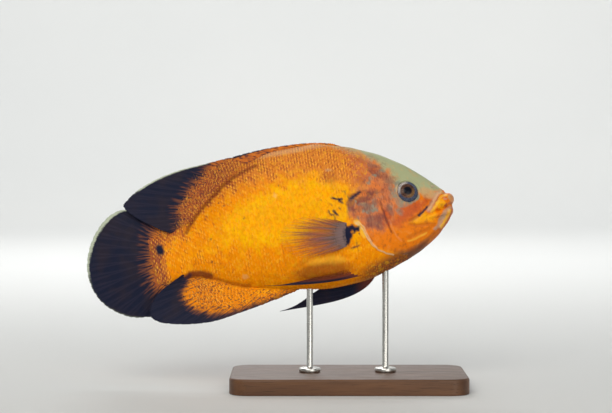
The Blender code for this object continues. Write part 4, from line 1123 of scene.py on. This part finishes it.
def flank_spread(side):
    """Places for the scales of one flank, in rows along the body that shrink to the back, belly and tail."""
    columns, x = [], SCALES_FROM
    while x > TRUNK[0][0] - 2:
        columns.append(x)
        x -= SCALE_PITCH / 2 * (1 - 0.30 * float(ramp(-x, 30, 86)) - 0.22 * float(ramp(x, 55, 76)))
    turns = np.linspace(-math.pi / 2, math.pi / 2, 700)
    steps = row_steps(80)
    spread = []
    for number, x in enumerate(columns):

        def ring(turn, ahead=0):
            return trunk_points(np.full(len(turn), x + ahead), turn, -COAT_DEPTH)

        arc = np.concatenate([[0], np.cumsum(np.linalg.norm(np.diff(ring(turns), axis=0), axis=1))])
        middle = np.interp(0, turns, arc)
        shift = 0.5 * (number % 2)
        over, under = (np.interp(np.arange(60) + s, np.arange(len(steps)), steps) for s in (shift, 1 - shift))
        at = middle + np.concatenate([over, -under])
        at = at[(at > 0.6) & (at < arc[-1] - 0.6)]
        turn = np.interp(at, arc, turns)
        place, back = ring(turn), ring(turn, -1) - ring(turn, 1)
        up = ring(np.clip(turn + 0.01, None, math.pi / 2)) - ring(np.clip(turn - 0.01, -math.pi / 2, None))
        tailward, outward = unit(back), unit(np.cross(up, back))
        outward *= np.sign(outward[:, 1:2] * -1 + 1e-9)
        size = 1 - 0.34 * ramp(np.abs(at - middle), 26, 62) - 0.26 * ramp(-x, 30, 86) - 0.18 * ramp(x, 55, 76)
        unwrap = np.column_stack([np.full(len(turn), (x + 90) / 240), turn / (2 * math.pi) + 0.25])
        if side > 0:
            place, outward, tailward = (v * (1, -1, 1) for v in (place, outward, tailward))
            unwrap[:, 1] = 1 - unwrap[:, 1]
        edge = -depth_in(HEAD_OUTLINE, place[:, 0], place[:, 2])
        sunk = (SCALE_HEIGHT - 0.04) * (1 - ramp(edge, 0.5, 12)) * ramp(x, 48, 60)
        place = place - outward * sunk[:, None]
        size = size * (0.8 + 0.2 * ramp(edge, 1, 14))
        fields = (place, outward, tailward, size, unwrap, np.zeros(len(place)))
        spread.append([v[edge > 0.8] for v in fields])
    return spread


def row_steps(reach):
    """Distances of the rows from the middle one, closer together further out."""
    steps = [0]
    while steps[-1] < reach:
        steps.append(steps[-1] + SCALE_ROW * (1 - 0.34 * float(ramp(steps[-1], 26, 62))))
    return np.array(steps)


# Fins


def swept(reach, lean=0.35):
    """A gentle sideways sweep: none at the root, `reach` at the margin's rear end."""

    def offset(u, v):
        out = np.zeros((len(u), len(v), 3))
        out[:, :, 1] = reach * (u**1.6)[:, None] * (lean + (1 - lean) * v)[None]
        return out

    return offset


def bowed(reach, power):
    """The first ray bends out by the vector `reach`, and the others less and less."""

    def offset(u, v):
        bend = np.sin(math.pi * u**power)[:, None] * (1 - 0.8 * v)[None]
        return bend[:, :, None] * np.array(reach)

    return offset


def branching(place, u, rays):
    """How much of a ray lies at each place across the fin: 1 on a ray or one of its branches, 0 between."""
    nearest = np.abs(place - np.round(place))
    first = 0.20 * ramp(u, 0.30, 0.95)
    second = 0.085 * ramp(u, 0.62, 1)
    off = np.abs(np.abs(nearest - first) - second)
    width = 0.115 - 0.055 * u
    return np.exp(-((off / width) ** 2))


def fin_sheet(
    root, margin, rays, rows, per_ray, root_half, sway, facing=None, billow=0.5, ridge=0.28, notch=0.7,
):
    """A fin's mid surface, its direction out, its half thickness and how much of a ray lies at each point."""
    columns = (rays - 1) * per_ray + 1
    a, b = curve_through(root, columns), curve_through(margin, columns)
    u = np.linspace(0, 1, rows) ** 0.95
    v = np.linspace(0, 1, columns)
    sheet = a[None] + (b - a)[None] * u[:, None, None]
    if sway:
        sheet = sheet + sway(u, v)
    ray = branching(v[None] * (rays - 1), u[:, None], rays)
    along = unit(np.gradient(sheet, axis=0))
    sheet = sheet - along * ((1 - ray) * notch * ramp(u, 0.86, 1)[:, None])[:, :, None]
    normal = unit(np.cross(np.gradient(sheet, axis=1), np.gradient(sheet, axis=0)))
    if facing is not None:
        normal = np.broadcast_to(unit(np.array(facing)), sheet.shape)
    ripple = billow * np.sin(v * 9 + 0.6)[None] * ramp(u, 0.2, 1)[:, None] * np.sin(u * 4.4 + 0.4)[:, None]
    sheet = sheet + normal * ripple[:, :, None]
    half = root_half + (0.14 - root_half) * u[:, None] ** 0.55
    half = half + ray * ridge * (1 - 0.6 * u)[:, None]
    half[-1] = 0.1
    return {"sheet": sheet, "normal": normal, "half": half, "ray": ray, "u": u, "v": v, "rays": rays}


def fin_mesh(name, form, fields, finish):
    """Closes a fin's sheet into a thin body, with both faces and the border between them."""
    sheet, normal, half = form["sheet"], form["normal"], form["half"]
    rows, columns = half.shape
    points = np.vstack([(sheet + side * normal * half[:, :, None]).reshape(-1, 3) for side in (1, -1)])
    count = rows * columns
    quads = strip_faces(rows, columns, False)
    border = list(range(columns))
    border += [i * columns + columns - 1 for i in range(1, rows)]
    border += [(rows - 1) * columns + j for j in range(columns - 2, -1, -1)]
    border += [i * columns for i in range(rows - 2, 0, -1)]
    rim = [(p + count, p, q, q + count) for p, q in zip(border, border[1:] + border[:1])]
    faces = np.vstack([quads[:, ::-1], quads + count, np.array(rim)])
    normals = np.cross(points[quads[:, 1]] - points[quads[:, 0]], points[quads[:, 3]] - points[quads[:, 0]])
    if np.einsum("ij,ij->i", normals, normal.reshape(-1, 3)[quads[:, 0]]).sum() > 0:
        faces = faces[:, ::-1]
    length = np.linalg.norm(sheet[-1] - sheet[0], axis=1)
    across = np.broadcast_to(form["v"][None] * (form["rays"] - 1) * 2.4, half.shape)
    down = form["u"][:, None] * length[None]
    strip = np.stack([across, down, np.zeros(half.shape)], axis=-1).reshape(-1, 3)
    every = {"fish": points, "strip": np.vstack([strip, strip + (60, 0, 7)])}
    fields = {"ray": form["ray"], "out": form["u"][:, None], "cover": 1, "warm": 0, **fields}
    for key, values in fields.items():
        every[key] = np.tile(np.broadcast_to(values, half.shape).ravel(), 2)
    return new_piece(name, in_world(points), faces, every, [finish])


# Bounds of the scaly bases in side view, and widths of the pale rims at shares of the way along the margins.
DORSAL_BASE = (
    (-4, 50), (-4, 72), (-30, 72), (-35, 60), (-39, 56.5), (-48.3, 48.1), (-58.4, 38.3), (-65.6, 31),
    (-67, 24.3), (-67.5, 12), (-64, 2), (-40, 16),
)
ANAL_BASE = (
    (20, -40), (12, -48.6), (3.4, -49.2), (-7, -50.5), (-20.2, -52), (-32, -54), (-43.6, -54.5),
    (-54.6, -52.6), (-65.2, -47.7), (-71.1, -42.1), (-72.3, -35.8), (-68.1, -28.9), (-65, -24.1), (-40, -20),
)
TAIL_BASE = (
    (-70, 22), (-77, 18.5), (-81.6, 14), (-84.6, 6), (-86.4, -4.5), (-87.6, -13), (-87, -22), (-82, -29),
    (-76, -33), (-70, -34),
)
DORSAL_RIM = (
    (0, 0), (0.08, 0.3), (0.16, 1.1), (0.3, 1.5), (0.45, 1.8), (0.54, 1.6), (0.6, 0.3), (0.66, 0), (1, 0),
)
TAIL_RIM = (
    (0, 1.2), (0.06, 2.4), (0.16, 3), (0.3, 2.6), (0.42, 1.9), (0.52, 1), (0.6, 0.5), (0.75, 0.65),
    (0.93, 0.7), (1, 0),
)


def base_field(form, outline, fade, full):
    """1 from `full` inside a fin's scaly base and 0 where its streaks end, `fade` beyond it."""
    x, z = form["sheet"][:, :, 0], form["sheet"][:, :, 2]
    return ramp(depth_in(outline, x, z), -fade, full)


def rim_field(form, widths):
    """The pale rim: `widths` gives its width in mm at shares of the way along the margin."""
    length = np.linalg.norm(form["sheet"][-1] - form["sheet"][0], axis=1)
    from_margin = (1 - form["u"])[:, None] * length[None]
    width = np.interp(form["v"], *np.array(widths).T)[None]
    return (1 - ramp(from_margin - width, -0.35, 0.45)) * ramp(width, 0.1, 1.4)


def fin_spread(form, outline, pitch, row, least_dusk=0):
    """Places for the small scales on both faces of a fin's scaly base."""
    sheet, normal, half = form["sheet"], form["normal"], form["half"]
    rows, columns = half.shape
    length = np.linalg.norm(sheet[-1] - sheet[0], axis=1)
    width = np.linalg.norm(np.diff(sheet[rows // 4], axis=0), axis=1).sum()
    spread = []
    for number in range(int(width / row * 2)):
        j = min(columns - 2, int(number * row / 2 / width * columns) + 1)
        deep = np.arange(0.5 * (number % 2), 40) * pitch
        i = np.searchsorted(form["u"] * length[j], deep[deep < length[j] * 0.8])
        i = i[i < rows - 2]
        x, z = sheet[i, j, 0], sheet[i, j, 2]
        depth = depth_in(outline, x, z) + 1.5 * wobble(x, z, 5, 21)
        i, x, depth = (v[depth > -1] for v in (i, x, depth))
        place, out, along = sheet[i, j], normal[i, j], unit(sheet[i + 1, j] - sheet[i, j])
        sunk = 0.05 + 0.17 * (1 - ramp(depth, 0, 10))
        dusk = np.maximum(0.9 * (1 - ramp(depth, -1.5, 7.5)), least_dusk)
        for side in (1, -1):
            lifted = place + side * out * (half[i, j] - sunk)[:, None]
            unwrap = np.column_stack([0.02 + x / -400, np.full(len(i), 0.5 + 0.4 * side * j / columns)])
            spread.append([lifted, side * out, along, np.ones(len(i)), unwrap, dusk])
    return spread


def make_fins(dark, clear):
    """Every fin with its slot and node, and the spread of small scales over the median ones' bases."""
    spiny, soft, anal, tail = (
        fin_sheet(*([(x, 0, z) for x, z in edge] for edge in edges), *sizes, **more)
        for edges, sizes, more in (
            ((SPINY_ROOT, SPINY_MARGIN), (13, 12, 10, 0.95, None), {"ridge": 0.5, "billow": 0, "notch": 1.2}),
            ((SOFT_DORSAL_ROOT, SOFT_DORSAL_MARGIN), (19, 44, 10, 1.25, swept(-4)), {}),
            ((ANAL_ROOT, ANAL_MARGIN), (18, 36, 10, 1.25, swept(-5)), {}),
            ((TAIL_ROOT, TAIL_MARGIN), (16, 52, 14, 1.5, swept(7, 1)), {"billow": 0.9}),
        )
    )
    to_tips = spiny["u"][:, None] + 0.2 * spiny["v"][None]
    made = []
    for node, name, form, base, amber, edge in (
        ("dorsal_fin_spiny", "dorsal_spines", spiny, 1.2 - 1.4 * ramp(to_tips, 0.85, 1.15),
         0.4 * (1 - ramp(spiny["v"], 0.3, 0.8))[None], 0),
        ("dorsal_fin_soft", "dorsal_soft_rays", soft, base_field(soft, DORSAL_BASE, 12, 9), 0,
         rim_field(soft, DORSAL_RIM)),
        ("anal_fin", "anal_rays", anal, base_field(anal, ANAL_BASE, 8, 4), 1, 0),
        ("tail_fin", "tail_rays", tail, base_field(tail, TAIL_BASE, 23, 4), 0.25, rim_field(tail, TAIL_RIM)),
    ):
        fields = {"base": base, "amber": amber, "edge": edge}
        made.append((fin_mesh(name, form, fields, dark), "dark_fin", node))
    for side, name in ((-1, "right"), (1, "left")):
        margin = [(x, side * (float(half_width_at(x, z)) + out), z) for x, z, out in PECTORAL_MARGIN]
        root = [(x, side * (float(half_width_at(x, z)) - PECTORAL_SINK), z) for x, z in PECTORAL_ROOT]
        form = fin_sheet(root, margin, 14, 40, 10, 0.9, None, billow=0.5, ridge=0.2, notch=0.8)
        piece = fin_mesh(f"pectoral_rays_{name}", form, {}, clear)
        made.append((piece, "pectoral_fin", f"pectoral_fin_{name}"))
    for node, shape in PELVICS.items():
        root = [(x, y, underside_at(x, y) + PELVIC_SINK) for x, y in shape["root"]]
        sway = bowed(shape["bow"], shape["bow_power"])
        form = fin_sheet(
            root, shape["margin"], 6, 44, 12, 0.85, sway, shape["facing"], billow=0.2, ridge=0.22, notch=0.4,
        )
        across, down = form["v"][None], form["u"][:, None]
        warm = shape["warm"] * ramp(across - 0.25 * down, 0.12, 0.5)
        warm = np.maximum(warm, 0.6 * (1 - ramp(down, 0.02, 0.3)))
        cover = 1 - shape["warm"] * 0.9 * ramp(across, 0.4, 0.95)
        fields = {"base": 0, "amber": 0, "edge": 0, "warm": warm, "cover": cover}
        made.append((fin_mesh(node.replace("fin", "rays"), form, fields, dark), "dark_fin", node))
    spread = fin_spread(soft, DORSAL_BASE, 2.7, 2.3, 0.16)
    spread += fin_spread(anal, ANAL_BASE, 2.9, 2.5) + fin_spread(tail, TAIL_BASE, 2.6, 2.3, 0.1)
    return made, spread


# Eyes


def make_eye(side, finish):
    """A flattened eyeball with a slight bulge of cornea; its rings are drawn round the pupil."""
    place, out = skin_place(*EYE, side)
    centre = place + out * (EYE_PROUD - EYE_DEPTH_R)
    level_way = unit(np.cross(out, (0, 0, 1)))
    up = np.cross(level_way, out)
    tilt = np.linspace(0, math.pi, 56)[1:-1, None]
    turn = np.linspace(0, 2 * math.pi, 72, endpoint=False)[None]
    bulge = EYE_BULGE * np.exp(-((tilt / 0.62) ** 2))
    flat = np.sin(tilt) * EYE_R
    deep = np.cos(tilt) * (EYE_DEPTH_R - EYE_BULGE) + bulge
    shares = (np.cos(turn) * flat, np.sin(turn) * flat, deep + 0 * turn)
    rings = centre + sum(share[:, :, None] * way for share, way in zip(shares, (level_way, up, out)))
    poles = [centre + out * EYE_DEPTH_R, centre - out * (EYE_DEPTH_R - EYE_BULGE)]
    every, faces = closed_rings(rings, poles)
    aim = unit(out + PUPIL_LEAN)
    away = every - centre
    off = away - (away @ aim)[:, None] * aim
    bare = np.linalg.norm(off, axis=1)
    bare = np.where(away @ aim < 0, 16 - bare, bare)
    way = unit(off)
    wheel = np.column_stack([way[:, 0], way[:, 2], bare * 0.12])
    name = "eye_ball_right" if side < 0 else "eye_ball_left"
    return new_piece(name, in_world(every), faces, {"out": bare, "wheel": wheel, "fish": every}, [finish])


# The stand


def rounded_outline(length, width, corner, count):
    """Points round a rectangle with round corners."""
    outline = []
    for quarter, (way_x, way_y) in enumerate(((1, 1), (-1, 1), (-1, -1), (1, -1))):
        turn = math.pi / 2 * (quarter + np.linspace(0, 1, count + 1))
        x = way_x * (length / 2 - corner) + corner * np.cos(turn)
        y = way_y * (width / 2 - corner) + corner * np.sin(turn)
        outline.append(np.column_stack([x, y]))
    return np.vstack(outline)


def round_rings(profile, sides):
    """Rings of points round the upright axis, at the radii and heights of a profile."""
    turn = np.linspace(0, 2 * math.pi, sides, endpoint=False)
    return np.array([np.column_stack([r * np.cos(turn), r * np.sin(turn), z + 0 * turn]) for r, z in profile])


def stacked(name, rings, finish):
    """A closed body over rings of points in world millimetres."""
    rings = np.array(rings)
    rows, sides = rings.shape[:2]
    points = rings.reshape(-1, 3)
    quads = strip_faces(rows, sides, True)
    faces = turned_out(points, quads)
    straight = tuple(faces[0]) == tuple(quads[0])
    bottom, top = tuple(range(sides)), tuple(range((rows - 1) * sides, rows * sides))
    caps = [bottom[::-1], top] if straight else [bottom, top[::-1]]
    piece = new_piece(name, points * MM, [tuple(f) for f in faces] + caps, None, [finish])
    piece.data.set_sharp_from_angle(angle=math.radians(38))
    return piece


def make_base(finish):
    """The slab, with a softened lower edge and a rounded upper one."""
    rings = []
    levels = [(0.5, 0), (0, 0.5)]
    for step in range(7):
        turn = math.radians(15 * step)
        levels.append((BASE_EDGE_R * (1 - math.cos(turn)), BASE_HEIGHT - BASE_EDGE_R * (1 - math.sin(turn))))
    for inset, z in levels:
        outline = rounded_outline(BASE_LENGTH - 2 * inset, BASE_WIDTH - 2 * inset, BASE_CORNER_R - inset, 12)
        rings.append(np.column_stack([outline, np.full(len(outline), z)]))
    return stacked("base_slab", rings, finish)


def make_rod(name, along, finish):
    """A turned rod with a flanged foot, up into the belly that it holds."""
    belly = smooth(TRUNK, [along])[0][1]
    top = in_world(np.array([[along, 0, belly]]))[0] / MM
    foot = BASE_HEIGHT + GAP
    profile = [
        (ROD_FOOT_R - 0.4, foot), (ROD_FOOT_R - 0.1, foot + 0.1), (ROD_FOOT_R, foot + 0.4),
        (ROD_FOOT_R, foot + ROD_FOOT_HEIGHT - 0.8), (ROD_FOOT_R - 0.25, foot + ROD_FOOT_HEIGHT - 0.25),
        (ROD_FOOT_R - 0.8, foot + ROD_FOOT_HEIGHT), (ROD_R + 1.3, foot + ROD_FOOT_HEIGHT),
        (ROD_R + 0.4, foot + ROD_FOOT_HEIGHT + 0.4), (ROD_R, foot + ROD_FOOT_HEIGHT + 1.3),
        (ROD_R, top[2] + 1.2),
    ]
    return stacked(name, round_rings(profile, 56) + (top[0], top[1], 0), finish)


# Stage, lights and camera


def make_stage(finish):
    """A pale floor that curves up far away on every side."""
    flat_to, bend, wall = 2.6, 1.6, 5
    profile = [(0.6, 0), (1.4, 0), (flat_to, 0)]
    for step in range(1, 13):
        turn = math.radians(90 * step / 12)
        profile.append((flat_to + bend * math.sin(turn), bend * (1 - math.cos(turn))))
    profile.append((flat_to + bend, wall))
    rings = round_rings(profile, 96)
    points = np.vstack([rings.reshape(-1, 3), [[0, 0, 0]]])
    faces = [tuple(f[::-1]) for f in strip_faces(len(rings), 96, True)]
    faces += [(len(points) - 1, i, (i + 1) % 96) for i in range(96)]
    floor = new_piece("studio_floor", points, faces, None, [finish])


def lamp(name, place, aim, size, power, colour="#FFFFFF"):
    light = bpy.data.lights.new(name, "AREA")
    light.shape = "DISK"
    light.size = size
    light.energy = power
    light.color = colour_of(colour)[:3]
    obj = linked(name, light)
    obj.location = place
    way = unit(np.array(aim, float) - np.array(place, float))
    obj.rotation_euler = (math.acos(-way[2]), 0, math.atan2(way[0], -way[1]) + math.pi)


def make_lights():
    """A large soft key above and ahead, a weak fill, a rim from behind, and a pale surround."""
    middle = (-0.03, 0, 0.13)
    lamp("key_softbox", (-0.6, -1.6, 1.25), middle, 1.3, 19, "#FFFBF2")
    lamp("fill_softbox", (0.8, -1.7, 0.35), middle, 1.3, 11, "#FFFCF6")
    lamp("back_softbox", (-0.3, 1.5, 1.25), middle, 1, 8)
    lamp("backdrop_light", (0, 1.2, 2.6), (0, 4, 1), 1.6, 75)
    world = bpy.data.worlds.new("pale_surround")
    world.use_nodes = True
    surround = world.node_tree.nodes["Background"]
    surround.inputs["Color"].default_value = colour_of("#E9EEF2")
    surround.inputs["Strength"].default_value = 0.5
    bpy.context.scene.world = world


def make_camera():
    """The photograph's view: level with the fish's flank, from 2 degrees above."""
    camera = bpy.data.cameras.new("photo_view")
    camera.lens, camera.sensor_width = 109, 36
    camera.clip_start, camera.clip_end = 0.05, 40
    tilt, distance = math.radians(2), 1.3845
    obj = linked("photo_view", camera)
    target = np.array([(PLACE[0] + 27.1) * MM, 0, 0.136])
    obj.location = target - distance * np.array([0, math.cos(tilt), -math.sin(tilt)])
    obj.rotation_euler = (math.pi / 2 - tilt, 0, 0)
    bpy.context.scene.camera = obj


# Building it

FLESH = (
    "head", "lower_jaw", "gill_cover_right", "gill_cover_left", "torso", "tail_stalk", "upper_lip",
    "lower_lip",
)


def attach(piece, slot, *nodes):
    """Rides on the one body and stands for its nodes, which it hides. The slot is not used."""
    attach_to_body(piece, "root")
    if nodes:
        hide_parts(*nodes)


flank = flank_material()
skin = make_skin([flank, head_material()])
attach(skin, "flank_skin", *FLESH)

form, group = scale_form(), coat_tree()
fins, base_spread = make_fins(dark_fin_material(), clear_fin_material())
for name, spread, scale_size, seed in (
    ("scales_right", flank_spread(-1), FLANK_SCALE, 5), ("scales_left", flank_spread(1), FLANK_SCALE, 6),
    ("scales_on_fin_bases", base_spread, FIN_SCALE, 7),
):
    attach(coat(name, group, spread, form, flank, scale_size, seed), "flank_skin")
bpy.data.objects.remove(form)
for piece, slot, node in fins:
    attach(piece, slot, node)

eye = eye_material()
attach(make_eye(-1, eye), "eye", "eye_right")
attach(make_eye(1, eye), "eye", "eye_left")

attach(make_base(walnut_material()), "stand_wood", "stand_base")
steel = steel_material()
attach(make_rod("rod_front", ROD_PLACES[0], steel), "stand_steel", "stand_rod_front")
attach(make_rod("rod_rear", ROD_PLACES[1], steel), "stand_steel", "stand_rod_rear")

make_stage(paper_material())
make_lights()
make_camera()
bpy.context.scene.view_settings.view_transform = "Standard"
